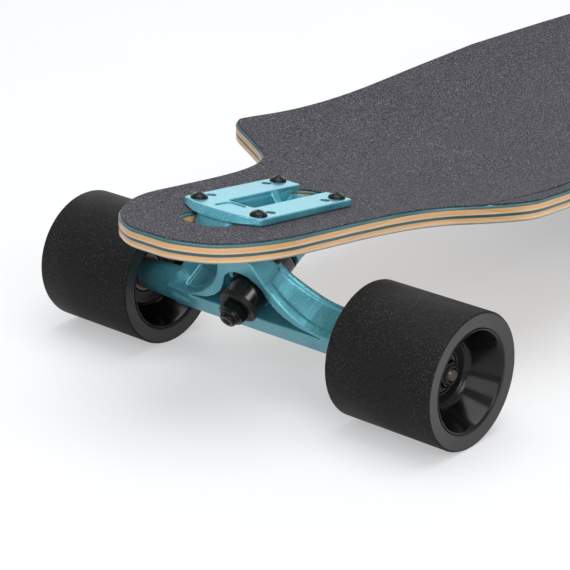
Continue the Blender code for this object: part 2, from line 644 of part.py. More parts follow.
def rear_wheel(side, way, hub, swing, urethane, metal, copper):
    """A hub motor: the rotor and tyre spin round a stator that is fixed to the axle."""
    tyre(f"rear_{side}_tyre", ROTOR_RADIUS + GAP, ROTOR_RADIUS + GAP, hub, way, urethane)
    lay = (-way * math.pi / 2, 0.0, 0.0)
    plate = BEARING_FACE - BEARING_WIDTH
    rotor = [(ROTOR_RADIUS, 0.0326), (ROTOR_RADIUS, -0.0326), (ROTOR_INNER, -0.0326), (ROTOR_INNER, plate),
             (AXLE_BORE, plate), (AXLE_BORE, BEARING_FACE), (HUB_STEP_RADIUS, BEARING_FACE),
             (HUB_RIM_RADIUS, 0.0326)]
    finish(turned(f"rear_{side}_motor_rotor", rotor, WHEEL_FACETS, hub, rotation=lay), metal)
    stator = [(STATOR_RADIUS, plate - GAP - 0.0004), (STATOR_RADIUS, STATOR_BACK), (0.0120, STATOR_BACK),
              (0.0120, STATOR_COLLAR_END), (AXLE_BORE, STATOR_COLLAR_END), (AXLE_BORE, plate - GAP - 0.0004)]
    place = (RAKE, way * WHEEL_CENTRE_Y, AXLE_ALONG)
    finish(turned(f"rear_{side}_motor_stator", stator, 28, swing, place, lay), copper)


# ---------------------------------------------------------------- the electric parts
def enclosure(shell):
    """A tray under the deck with an open top that follows the deck's belly."""
    outline = rounded_box(BOX_BACK, BOX_FRONT, BOX_HALF_WIDTH, BOX_CORNER)
    inner = rounded_box(BOX_BACK + BOX_WALL, BOX_FRONT - BOX_WALL, BOX_HALF_WIDTH - BOX_WALL,
                        BOX_CORNER - BOX_WALL)
    tray = prism("enclosure", [outline], BOX_BOTTOM, 0.0900)
    bevel(tray, 0.0040, 3)
    hollow = prism("enclosure_hollow", [inner], BOX_BOTTOM + BOX_WALL, 0.1000)
    above = slab("enclosure_top", DECK_BOTTOM - GASKET_THICKNESS - GAP, 0.05)
    button_hole = rod("button_hole", BUTTON_RADIUS + GAP, (BUTTON_X, 0.06, BUTTON_Z),
                      (BUTTON_X, 0.08, BUTTON_Z), None, 24)
    port_hole = rod("port_hole", PORT_RADIUS + GAP, (PORT_X, -0.06, PORT_Z), (PORT_X, -0.08, PORT_Z), None, 24)
    holes = [button_hole, port_hole]
    for way in (1, -1):
        y = way * CABLE_EXIT_Y
        holes.append(rod(f"cable_hole_{way}", CABLE_RADIUS + GAP, (BOX_BACK - 0.01, y, CABLE_EXIT_Z),
                         (BOX_BACK + 0.01, y, CABLE_EXIT_Z), None, 16))
    cut(tray, [hollow, above] + holes)
    return finish(tray, shell)


def gasket(rubber):
    """A thin seal that fills the joint between the tray's rim and the deck."""
    ring = [rounded_box(BOX_BACK, BOX_FRONT, BOX_HALF_WIDTH, BOX_CORNER),
            rounded_box(BOX_BACK + 0.0022, BOX_FRONT - 0.0022, BOX_HALF_WIDTH - 0.0022, BOX_CORNER - 0.0022)]
    seal = prism("enclosure_gasket", ring, 0.0400, 0.1200)
    band = slab("gasket_band", DECK_BOTTOM - GASKET_THICKNESS, DECK_BOTTOM - GAP)
    combine(seal, [band], "INTERSECT")
    return finish(seal, rubber)


def boxed_electronics(wrap, board):
    floor = BOX_BOTTOM + BOX_WALL + GAP
    battery = block("battery_pack", (-0.2000, -0.0560, floor), (0.0100, 0.0560, floor + 0.0190))
    bevel(battery, 0.0030)
    finish(battery, wrap)
    controller = block("speed_controller", (0.0180, -0.0450, floor), (0.0880, 0.0450, floor + 0.0150))
    bevel(controller, 0.0012)
    finish(controller, board)


def power_button(black):
    """A round button on the left wall. It slides straight in."""
    outer = BOX_HALF_WIDTH + 0.0016
    place = axes_empty("power_button_guide", (BUTTON_X, outer, BUTTON_Z), (-math.pi / 2, 0.0, 0.0))
    cap = [(0.0, 0.0), (BUTTON_RADIUS - 0.0008, 0.0), (BUTTON_RADIUS, -0.0008),
           (BUTTON_RADIUS, -0.0075), (0.0, -0.0075)]
    finish(turned("power_button", cap, 24, place, closed=False), black)


def charge_port(black, rubber):
    """A round socket in the right wall with a hinged cover over it."""
    wall = -BOX_HALF_WIDTH
    socket = [(PORT_RADIUS, 0.0), (PORT_RADIUS, -0.0090), (0.0010, -0.0090), (0.0010, -0.0070),
              (0.0048, -0.0070), (0.0048, 0.0)]
    finish(turned("charge_port", socket, 24, None, (PORT_X, wall, PORT_Z), (math.pi / 2, 0.0, 0.0)), black)
    hinge = axes_empty("charge_port_hinge", (PORT_X, wall - GAP - 0.0016, COVER_HINGE_Z))
    cover = block("charge_port_cover", (-COVER_HALF_WIDTH, -0.0004, -COVER_LENGTH),
                  (COVER_HALF_WIDTH, -0.0004 + COVER_THICKNESS, -0.0010), hinge)
    barrel = rod("cover_barrel", 0.0015, (-COVER_HALF_WIDTH, 0, 0), (COVER_HALF_WIDTH, 0, 0), hinge, 12)
    combine(cover, [barrel], "UNION")
    finish(cover, rubber)


def motor_cables(swing, sheath):
    """One cable along each rear arm, and one from there to the enclosure.

    The two meet end to end on a line along the pivot axis, so the hanger can turn between them.
    """
    for side, way in sides("rear"):
        arm = [(-0.0085, way * 0.0735, -0.0130), (-0.0085, way * 0.0640, -0.0130),
               (-0.0082, way * 0.0500, -0.0080), (-0.0082, way * 0.0330, 0.0010),
               (-0.0085, way * 0.0200, 0.0080), (-0.0085, way * 0.0165, 0.0115),
               (-0.0085, way * 0.0165, 0.0145)]
        finish(tube(f"rear_{side}_motor_cable", arm, CABLE_RADIUS, swing), sheath)
        across = -way
        trunk = [(-0.34026, across * 0.0165, 0.07654), (-0.34189, across * 0.0165, 0.07906),
                 (-0.3395, across * 0.0170, 0.0830), (-0.3330, across * 0.0178, 0.0832),
                 (-0.3200, across * 0.0185, 0.0790), (-0.3030, across * 0.0185, 0.0700),
                 (-0.2750, across * 0.0180, 0.0645), (-0.2400, across * CABLE_EXIT_Y, 0.0575),
                 (BOX_BACK + 0.0015, across * CABLE_EXIT_Y, CABLE_EXIT_Z)]
        finish(tube(f"rear_{side}_cable_trunk", trunk, CABLE_RADIUS), sheath)


def build():
    teal = material("teal_paint", (0.16, 0.43, 0.50), 0.38, 0.55)
    steel = material("black_steel", (0.03, 0.03, 0.03), 0.35, 0.8)
    axle_steel = material("axle_steel", (0.18, 0.14, 0.12), 0.35, 0.9)
    rubber = material("black_bushing", (0.015, 0.015, 0.017), 0.5)
    urethane = material("black_urethane", (0.02, 0.02, 0.02), 0.75)
    core_plastic = material("wheel_core", (0.01, 0.01, 0.01), 0.12)
    shield = material("bearing_shield", (0.35, 0.03, 0.03), 0.35)
    motor_metal = material("motor_can", (0.02, 0.02, 0.022), 0.3, 0.7)
    stator_metal = material("stator", (0.08, 0.08, 0.085), 0.5, 0.6)
    shell = material("enclosure_shell", (0.02, 0.02, 0.022), 0.6)
    wrap = material("battery_wrap", (0.03, 0.10, 0.22), 0.4)
    board = material("controller_case", (0.30, 0.31, 0.32), 0.4, 0.8)
    sheath = material("cable_sheath", (0.015, 0.015, 0.016), 0.55)
    trucks = {"front": truck_frame("front", 0.0), "rear": truck_frame("rear", math.pi)}
    deck_layers(trucks)
    swings = {}
    for end, truck in trucks.items():
        fixed = steer_frame(f"{end}_kingpin_frame", truck)
        swing = steer_frame(f"{end}_steer_axis", truck)
        swings[end] = swing
        baseplate(end, truck, fixed, teal)
        kingpin_stack(end, fixed, steel, rubber)
        mount_screws(end, truck, steel)
        reach = WHEEL_CENTRE_Y - BEARING_FACE - GAP
        if end == "rear":
            reach = WHEEL_CENTRE_Y + STATOR_COLLAR_END - GAP
        hanger(end, swing, reach, teal)
        axle_and_nuts(end, swing, axle_steel)
        for side, way in sides(end):
            hub = axes_empty(f"{end}_{side}_wheel_axis", (RAKE, way * WHEEL_CENTRE_Y, AXLE_ALONG),
                             parent=swing)
            if end == "front":
                front_wheel(side, way, hub, urethane, core_plastic, shield)
            else:
                rear_wheel(side, way, hub, swing, urethane, motor_metal, stator_metal)
    enclosure(shell)
    gasket(rubber)
    boxed_electronics(wrap, board)
    power_button(shell)
    charge_port(shell, rubber)
    motor_cables(swings["rear"], sheath)


build()
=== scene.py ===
"""Looks of the electric longboard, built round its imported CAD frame.

Everything is in metres in the CAD's own frame: +X to the nose, +Y to the left rail, +Z up.
Pieces with fine shape replace their CAD nodes. The rest keep their nodes and get new materials.
"""

import json
import math

import bmesh
import bpy
from mathutils import Euler, Matrix, Vector
from mathutils.geometry import delaunay_2d_cdt
from mathutils.kdtree import KDTree


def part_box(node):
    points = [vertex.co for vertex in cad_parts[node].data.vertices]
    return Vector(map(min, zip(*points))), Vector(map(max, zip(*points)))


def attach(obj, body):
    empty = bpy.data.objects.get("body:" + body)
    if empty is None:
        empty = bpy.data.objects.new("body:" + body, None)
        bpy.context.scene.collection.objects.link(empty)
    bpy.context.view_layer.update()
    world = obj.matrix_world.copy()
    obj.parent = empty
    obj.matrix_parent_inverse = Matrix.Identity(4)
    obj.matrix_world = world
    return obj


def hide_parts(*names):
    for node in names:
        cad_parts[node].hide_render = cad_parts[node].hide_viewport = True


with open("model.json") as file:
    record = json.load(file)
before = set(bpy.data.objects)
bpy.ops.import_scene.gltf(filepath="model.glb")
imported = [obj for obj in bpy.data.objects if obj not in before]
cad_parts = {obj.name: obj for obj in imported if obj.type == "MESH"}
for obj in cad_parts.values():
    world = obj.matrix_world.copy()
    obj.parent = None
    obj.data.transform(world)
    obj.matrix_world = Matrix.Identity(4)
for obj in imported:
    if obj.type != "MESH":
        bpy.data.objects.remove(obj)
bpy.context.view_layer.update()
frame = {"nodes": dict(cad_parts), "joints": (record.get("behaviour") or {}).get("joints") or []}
JOINTS = {joint["name"]: joint for joint in frame["joints"]}
ROOT = "deck_assembly"

# ---------------------------------------------------------------- sizes shared with the CAD
AXLE_X = JOINTS["front_left_wheel_spin"]["pos_m"][0]
WHEEL_RADIUS = JOINTS["front_left_wheel_spin"]["pos_m"][2]
WHEEL_HALF_WIDTH = 0.03325
PLATFORM_TOP = 0.0985
PLATFORM_TILT = math.radians(7.0)
PLATFORM_LENGTH_IN = 0.080
ROCKER_RADIUS = 1.149
NOSE_REACH = 0.0897
FLAT_HALF_WIDTH = 0.030
MIDDLE_HALF_WIDTH = 0.1095
CONCAVE_RISE = 0.0142
CONCAVE_REACH = 0.077
CONCAVE_POWER = 1.6
GRIP_TOP = -0.0003
GRIP_BOTTOM = -0.0010
DECK_TOP = -0.0013
DECK_THICKNESS = 0.0102
PATTERN_SHIFT = -0.0015
BOLTS = [(PATTERN_SHIFT + u * 0.03175, v * 0.02065) for u in (1, -1) for v in (1, -1)]
SPARE_HOLES = [(PATTERN_SHIFT + u * 0.02205, v * 0.02065) for u in (1, -1) for v in (1, -1)]
RAKE = 0.0070
AXLE_ALONG = -0.0217
PIVOT_ALONG = 0.0400
AXLE_RADIUS = 0.0040
BEARING_FACE = 0.0145
FLANGE = 0.0040
GAP = 0.0003                    # clearance between pieces that touch on the real board
KINGPIN_RADIUS = 0.00476
BUSHING_BORE = 0.00506
WEB_HALF = 0.00275              # half of the hanger's ring between the bushings
SCREW_RADIUS = 0.0024
CORE_SEAT = 0.0282              # radius of the front core, with its gap
ROTOR_SEAT = 0.0309             # radius of the motor can, with its gap
COVER_HINGE = (-0.0739, 0.0632)
COVER_THICKNESS = 0.0018


# ---------------------------------------------------------------- frames
def truck_matrix(end):
    turn = 0.0 if end == "front" else math.pi
    return (Matrix.Translation((AXLE_X * math.cos(turn), 0.0, PLATFORM_TOP))
            @ Euler((0.0, -PLATFORM_TILT, turn)).to_matrix().to_4x4())


def steer_matrix(end):
    """X down the kingpin, Y to the side and Z up the pivot axis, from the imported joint."""
    joint = JOINTS[f"{end}_steer"]
    up = Vector(joint["axis"]).normalized()
    side = Vector((0.0, 1.0 if end == "front" else -1.0, 0.0))
    down = side.cross(up)
    place = Matrix((down, side, up)).transposed().to_4x4()
    place.translation = joint["pos_m"]
    return place


def sides(end):
    return (("left", 1), ("right", -1)) if end == "front" else (("left", -1), ("right", 1))


def hub_matrix(end, side):
    """Z points outward along the axle."""
    outward = 1 if side == "left" else -1
    place = Matrix.Rotation(-outward * math.pi / 2, 4, "X")
    place.translation = JOINTS[f"{end}_{side}_wheel_spin"]["pos_m"]
    return place


LAY = Matrix.Rotation(math.pi / 2, 4, "Y")      # turns a shape's Z onto X
ALONG_Y = Matrix.Rotation(-math.pi / 2, 4, "X")  # turns a shape's Z onto Y
UPSIDE_DOWN = Matrix.Rotation(math.pi, 4, "X")
FACING = Euler((math.pi / 2, 0.0, math.pi / 2)).to_matrix().to_4x4()


# ---------------------------------------------------------------- mesh helpers
def finished(name, shape, materials, place=None, angle=32.0):
    """A new object from a bmesh, smooth apart from its sharp edges."""
    bmesh.ops.recalc_face_normals(shape, faces=shape.faces)
    mesh = bpy.data.meshes.new(name)
    shape.to_mesh(mesh)
    shape.free()
    for made in materials if isinstance(materials, (list, tuple)) else [materials]:
        mesh.materials.append(made)
    obj = bpy.data.objects.new(name, mesh)
    bpy.context.scene.collection.objects.link(obj)
    if place is not None:
        obj.matrix_world = place
    smooth(obj, angle)
    return obj


def smooth(obj, angle=32.0):
    obj.data.shade_smooth()
    obj.data.set_sharp_from_angle(angle=math.radians(angle))
    return obj


def apply(obj):
    """Turns an object's modifiers into its mesh."""
    bpy.context.view_layer.update()
    graph = bpy.context.evaluated_depsgraph_get()
    mesh = bpy.data.meshes.new_from_object(obj.evaluated_get(graph))
    obj.modifiers.clear()
    obj.data = mesh
    return obj


def combined(obj, others, operation):
    for other in others:
        step = obj.modifiers.new("join", "BOOLEAN")
        step.operation = operation
        step.solver = "EXACT"
        step.object = other
    apply(obj)
    for other in others:
        bpy.data.objects.remove(other, do_unlink=True)
    return obj


def cast(obj, voxel=0.00065, rounds=5):
    """Skins the solid evenly and softens every edge, as a casting's are."""
    skin = obj.modifiers.new("skin", "REMESH")
    skin.mode = "VOXEL"
    skin.voxel_size = voxel * 1.0
    soften = obj.modifiers.new("soften", "SMOOTH")
    soften.factor = 0.5
    soften.iterations = rounds
    apply(obj)
    obj.data.shade_smooth()
    return obj


def bevelled(obj, width, segments=2, angle=35.0):
    step = obj.modifiers.new("edge", "BEVEL")
    step.width = width
    step.segments = segments
    step.limit_method = "ANGLE"
    step.angle_limit = math.radians(angle)
    return smooth(apply(obj))


def arc(centre, radius, start, end, count):
    points = []
    for index in range(count):
        angle = math.radians(start + (end - start) * index / (count - 1))
        points.append((centre[0] + radius * math.cos(angle), centre[1] + radius * math.sin(angle)))
    return points


def circle(centre, radius, count=24):
    return arc(centre, radius, 0, 360 - 360 / count, count)


def rounded_box(back, front, half_width, corner, count=9):
    inner = half_width - corner
    return (arc((front - corner, inner), corner, 0, 90, count)
            + arc((back + corner, inner), corner, 90, 180, count)
            + arc((back + corner, -inner), corner, 180, 270, count)
            + arc((front - corner, -inner), corner, 270, 360, count))


def eased(points, radius, count=3):
    """The outline with each corner rounded by a short curve."""
    line = [Vector(point) for point in points]
    made = []
    for index, here in enumerate(line):
        before = line[index - 1] - here
        after = line[(index + 1) % len(line)] - here
        reach = min(radius, before.length * 0.48, after.length * 0.48)
        first = here + before.normalized() * reach
        last = here + after.normalized() * reach
        for step in range(count + 1):
            t = step / count
            made.append(tuple((1 - t) ** 2 * first + 2 * t * (1 - t) * here + t ** 2 * last))
    return made


def smooth_line(points, per_span):
    """A Catmull-Rom line through the points."""
    line = [Vector(point) for point in points]
    line = [2 * line[0] - line[1]] + line + [2 * line[-1] - line[-2]]
    made = []
    for before, first, second, after in zip(line, line[1:], line[2:], line[3:]):
        for index in range(per_span):
            t = index / per_span
            made.append(0.5 * (2 * first + (second - before) * t
                               + (2 * before - 5 * first + 4 * second - after) * t ** 2
                               + (3 * first - before - 3 * second + after) * t ** 3))
    made.append(line[-2])
    return made


def turned(name, profile, steps, material, place=None, closed=True, angle=32.0):
    """A shape turned about its own Z from (radius, height) points."""
    shape = bmesh.new()
    rings = []
    for radius, height in profile:
        spots = 1 if radius < 1e-7 else steps
        rings.append([shape.verts.new((radius * math.cos(math.tau * index / steps),
                                       radius * math.sin(math.tau * index / steps), height))
                      for index in range(spots)])
    pairs = list(zip(rings, rings[1:]))
    if closed:
        pairs.append((rings[-1], rings[0]))
    for first, second in pairs:
        for index in range(steps):
            corners = []
            for ring, spot in ((first, index), (first, index + 1), (second, index + 1), (second, index)):
                corner = ring[spot % len(ring)]
                if corner not in corners:
                    corners.append(corner)
            if len(corners) > 2:
                shape.faces.new(corners)
    return finished(name, shape, material, place, angle)


def prism(name, outlines, low, high, material, place=None):
    """Flat outlines raised along Z. An outline inside the first one makes a hole."""
    outlines = [facing_up(outline) for outline in outlines]
    points, triangles = filled(outlines[:1], outlines[1:])
    shape = bmesh.new()
    verts = [shape.verts.new((point.x, point.y, low)) for point in points]
    for triangle in triangles:
        shape.faces.new([verts[index] for index in triangle])
    raised = bmesh.ops.extrude_face_region(shape, geom=list(shape.faces))
    for item in raised["geom"]:
        if isinstance(item, bmesh.types.BMVert):
            item.co.z = high
    bmesh.ops.dissolve_limit(shape, angle_limit=0.001, verts=shape.verts, edges=shape.edges)
    return finished(name, shape, material, place)


def block(name, low, high, material, place=None):
    low = Vector(low)
    high = Vector(high)
    shape = bmesh.new()
    bmesh.ops.create_cube(shape, size=1.0,
                          matrix=Matrix.Translation((low + high) / 2) @ Matrix.Diagonal((*(high - low), 1.0)))
    return finished(name, shape, material, place)


def rod(name, radius, start, end, material, place=None, sides_count=32, radius_end=None):
    start = Vector(start)
    end = Vector(end)
    along = end - start
    shape = bmesh.new()
    turn = along.to_track_quat("Z", "Y").to_matrix().to_4x4()
    bmesh.ops.create_cone(shape, cap_ends=True, segments=sides_count, radius1=radius,
                          radius2=radius if radius_end is None else radius_end, depth=along.length,
                          matrix=Matrix.Translation((start + end) / 2) @ turn)
    return finished(name, shape, material, place)


def facing_up(outline):
    area = sum(a[0] * b[1] - b[0] * a[1] for a, b in zip(outline, outline[1:] + outline[:1]))
    return outline if area > 0 else list(reversed(outline))


def filled(keep, holes, spacing=None):
    """Triangles of the kept outlines without the holes, with inner points if a spacing is given."""
    points = []
    faces = []
    for outline in keep + holes:
        faces.append(list(range(len(points), len(points) + len(outline))))
        points += [Vector(point) for point in outline]
    if spacing:
        tree = KDTree(len(points))
        for index, point in enumerate(points):
            tree.insert((*point, 0.0), index)
        tree.balance()
        low = [min(point[axis] for point in points) for axis in (0, 1)]
        high = [max(point[axis] for point in points) for axis in (0, 1)]
        for column in range(int((high[0] - low[0]) / spacing) + 1):
            for row in range(int((high[1] - low[1]) / spacing) + 1):
                spot = Vector((low[0] + column * spacing, low[1] + (row + 0.5) * spacing))
                if tree.find((*spot, 0.0))[2] > spacing * 0.55:
                    points.append(spot)
    spots, _, triangles, _, _, origins = delaunay_2d_cdt(points, [], faces, 0, 1e-7)
    kept = [triangle for triangle, origin in zip(triangles, origins)
            if origin and all(index < len(keep) for index in origin)]
    return spots, kept


# ---------------------------------------------------------------- materials
class Nodes:
    """A short way to write a material's node tree."""

    def __init__(self, name, colour, roughness, metallic=0.0, specular=0.5, coat=0.0, coat_roughness=0.1):
        self.made = bpy.data.materials.new(name)
        self.made.use_nodes = True
        self.tree = self.made.node_tree
        self.shader = self.tree.nodes["Principled BSDF"]
        self.shader.inputs["Base Color"].default_value = (*colour, 1.0)
        self.shader.inputs["Roughness"].default_value = roughness
        self.shader.inputs["Metallic"].default_value = metallic
        self.shader.inputs["Specular IOR Level"].default_value = specular
        self.shader.inputs["Coat Weight"].default_value = coat
        self.shader.inputs["Coat Roughness"].default_value = coat_roughness

    def add(self, kind, values=(), **settings):
        node = self.tree.nodes.new("ShaderNode" + kind)
        for key, value in settings.items():
            setattr(node, key, value)
        for key, value in values:
            self.feed(node.inputs[key], value)
        return node

    def feed(self, socket, value):
        """Links a socket to another one's value, or sets it."""
        if isinstance(value, bpy.types.NodeSocket):
            self.tree.links.new(value, socket)
        else:
            socket.default_value = value

    def place(self, scale=(1.0, 1.0, 1.0), turn=(0.0, 0.0, 0.0)):
        """Object coordinates, scaled and turned."""
        here = self.add("TexCoord").outputs["Object"]
        return self.add("Mapping", [("Vector", here), ("Scale", scale), ("Rotation", turn)]).outputs[0]

    def noise(self, scale, detail=2.0, roughness=0.5, where=None):
        where = self.place() if where is None else where
        return self.add("TexNoise", [("Scale", scale), ("Detail", detail), ("Roughness", roughness),
                                     ("Vector", where)]).outputs["Fac"]

    def ramp(self, value, stops):
        node = self.add("ValToRGB", [("Fac", value)])
        ramp = node.color_ramp
        while len(ramp.elements) < len(stops):
            ramp.elements.new(0.5)
        for element, (position, colour) in zip(ramp.elements, stops):
            element.position = position
            element.color = (*colour, 1.0)
        return node.outputs["Color"]

    def span(self, value, low, high, to_low, to_high):
        return self.add("MapRange", [("Value", value), ("From Min", low), ("From Max", high),
                                     ("To Min", to_low), ("To Max", to_high)]).outputs[0]

    def mix(self, factor, first, second):
        """Mixes two colours. In RGBA mode a Mix node takes them at inputs 6 and 7."""
        sides = [(*side, 1.0) if isinstance(side, tuple) else side for side in (first, second)]
        return self.add("Mix", [(0, factor), (6, sides[0]), (7, sides[1])], data_type="RGBA").outputs[2]

    def math(self, operation, first, second):
        return self.add("Math", [(0, first), (1, second)], operation=operation).outputs[0]

    def set(self, socket, value):
        self.tree.links.new(value, self.shader.inputs[socket])
        return self

    def bump(self, heights):
        """Bumps one on another, from (height, depth in metres, strength)."""
        normal = None
        for height, distance, strength in heights:
            values = [("Height", height), ("Distance", distance), ("Strength", strength)]
            if normal is not None:
                values.append(("Normal", normal))
            normal = self.add("Bump", values).outputs[0]
        return self.set("Normal", normal)


def teal_paint(name, brushed=False):
    """Satin metallic paint over a casting: fine flakes, a faint orange peel and a painted highlight that
    makes the sharp edges paler.
    """
    nodes = Nodes(name, (0.07, 0.32, 0.40), 0.36, 0.55, 0.5, 0.22, 0.18)
    flakes = nodes.noise(1900.0, 1.0)
    cloud = nodes.noise(55.0, 3.0)
    if brushed:
        cloud = nodes.noise(1.0, 3.0, 0.6, nodes.place((1700.0, 110.0, 110.0), (0.0, 0.0, 0.35)))
    base = nodes.mix(nodes.span(cloud, 0.36, 0.64, 0.0, 1.0), (0.054, 0.290, 0.368), (0.105, 0.392, 0.475))
    base = nodes.mix(nodes.span(flakes, 0.52, 0.72, 0.0, 0.40), base, (0.32, 0.62, 0.70))
    # Painted highlight: sharp edges (high pointiness) are mixed towards a pale teal, as if catching the
    # light.
    edge = nodes.add("NewGeometry").outputs["Pointiness"]
    base = nodes.mix(nodes.span(edge, 0.52, 0.62, 0.0, 0.32), base, (0.46, 0.74, 0.80))
    nodes.set("Base Color", base)
    nodes.set("Roughness", nodes.span(cloud, 0.3, 0.7, 0.27, 0.41))
    nodes.bump([(nodes.noise(900.0, 2.0), 0.00006, 0.4), (cloud, 0.00005, 0.6 if brushed else 0.2)])
    return nodes.made


def grip_grit():
    """Silicon-carbide grit: dark grains with a few pale, faintly purple glints."""
    nodes = Nodes("grip_grit", (0.07, 0.068, 0.078), 0.88, 0.0, 0.15)
    grain = nodes.noise(1250.0, 2.0, 0.65)
    coarse = nodes.noise(560.0, 2.0)
    patch = nodes.noise(16.0, 3.0)
    base = nodes.ramp(grain, [(0.34, (0.010, 0.010, 0.012)), (0.48, (0.038, 0.037, 0.043)),
                              (0.58, (0.090, 0.087, 0.100)), (0.70, (0.30, 0.29, 0.33))])
    base = nodes.mix(nodes.span(coarse, 0.35, 0.68, 0.0, 0.35), base, (0.058, 0.056, 0.066))
    base = nodes.mix(nodes.span(patch, 0.30, 0.70, 0.0, 0.20), base, (0.042, 0.041, 0.048))
    nodes.set("Base Color", base)
    nodes.set("Roughness", nodes.span(grain, 0.5, 0.75, 0.92, 0.60))
    nodes.bump([(grain, 0.00022, 0.7), (coarse, 0.0002, 0.5)])
    return nodes.made


def ply_edge(name, dark, light, streak=0.5):
    """The edge of one veneer: long streaks along the board and open pores."""
    nodes = Nodes(name, light, 0.42, 0.0, 0.5, 0.25, 0.15)
    streaks = nodes.noise(1.0, 4.0, 0.6, nodes.place((26.0, 26.0, 2600.0)))
    slow = nodes.noise(1.0, 2.0, 0.5, nodes.place((7.0, 7.0, 500.0)))
    pores = nodes.noise(1.0, 2.0, 0.6, nodes.place((700.0, 700.0, 3000.0)))
    factor = nodes.math("ADD", nodes.span(streaks, 0.3, 0.7, 0.0, streak),
                        nodes.span(slow, 0.3, 0.7, 0.0, 0.5))
    base = nodes.mix(factor, light, dark)
    base = nodes.mix(nodes.span(pores, 0.62, 0.72, 0.0, 0.45), base, tuple(part * 0.45 for part in dark))
    nodes.set("Base Color", base)
    nodes.set("Roughness", nodes.span(streaks, 0.3, 0.7, 0.36, 0.50))
    nodes.bump([(streaks, 0.00006, 0.5), (pores, 0.00005, 0.3)])
    return nodes.made


def veneer(name, light, dark, gloss=0.3):
    """A face veneer with grain along the board."""
    nodes = Nodes(name, light, gloss, 0.0, 0.5, 0.35, 0.12)
    warp = nodes.noise(3.0, 2.0, 0.5, nodes.place((1.0, 5.0, 1.0)))
    where = nodes.add("VectorMath", [(0, nodes.place((5.0, 110.0, 30.0))),
                                     (1, nodes.span(warp, 0.0, 1.0, -3.0, 3.0))], operation="ADD")
    bands = nodes.noise(1.0, 5.0, 0.62, where.outputs[0])
    fibres = nodes.noise(1.0, 2.0, 0.6, nodes.place((35.0, 1700.0, 400.0)))
    base = nodes.mix(nodes.span(bands, 0.32, 0.68, 0.0, 1.0), light, dark)
    base = nodes.mix(nodes.span(fibres, 0.55, 0.75, 0.0, 0.35), base, tuple(part * 0.6 for part in dark))
    nodes.set("Base Color", base)
    nodes.set("Roughness", nodes.span(bands, 0.3, 0.7, gloss - 0.04, gloss + 0.08))
    nodes.bump([(fibres, 0.00003, 0.4)])
    return nodes.made


def speckled(name, colour, fleck, roughness, bump=0.00008, amount=0.35, scale=1300.0, specular=0.5):
    """A moulded or blasted surface with fine flecks."""
    nodes = Nodes(name, colour, roughness, 0.0, specular)
    grains = nodes.noise(scale, 2.0, 0.6)
    cloud = nodes.noise(38.0, 3.0)
    base = nodes.mix(nodes.span(grains, 0.54, 0.72, 0.0, amount), colour, fleck)
    base = nodes.mix(nodes.span(cloud, 0.3, 0.7, 0.0, 0.5), base, tuple(part * 1.25 for part in colour))
    nodes.set("Base Color", base)
    nodes.set("Roughness", nodes.span(cloud, 0.3, 0.7, roughness - 0.05, roughness + 0.05))
    nodes.bump([(grains, bump, 0.7)])
    return nodes.made


def polished(name, colour, roughness, metallic=0.0, streak=(40.0, 40.0, 900.0), coat=0.0, specular=0.5):
    """Smooth plastic, rubber or steel with faint turning marks and smudges."""
    nodes = Nodes(name, colour, roughness, metallic, specular, coat, 0.08)
    lines = nodes.noise(1.0, 2.0, 0.5, nodes.place(streak))
    smudge = nodes.noise(90.0, 3.0)
    base = nodes.mix(nodes.span(lines, 0.3, 0.7, 0.0, 0.5), colour, tuple(part * 1.5 for part in colour))
    nodes.set("Base Color", base)
    nodes.set("Roughness", nodes.span(smudge, 0.3, 0.7, max(roughness - 0.05, 0.03), roughness + 0.08))
    nodes.bump([(lines, 0.00002, 0.3)])
    return nodes.made


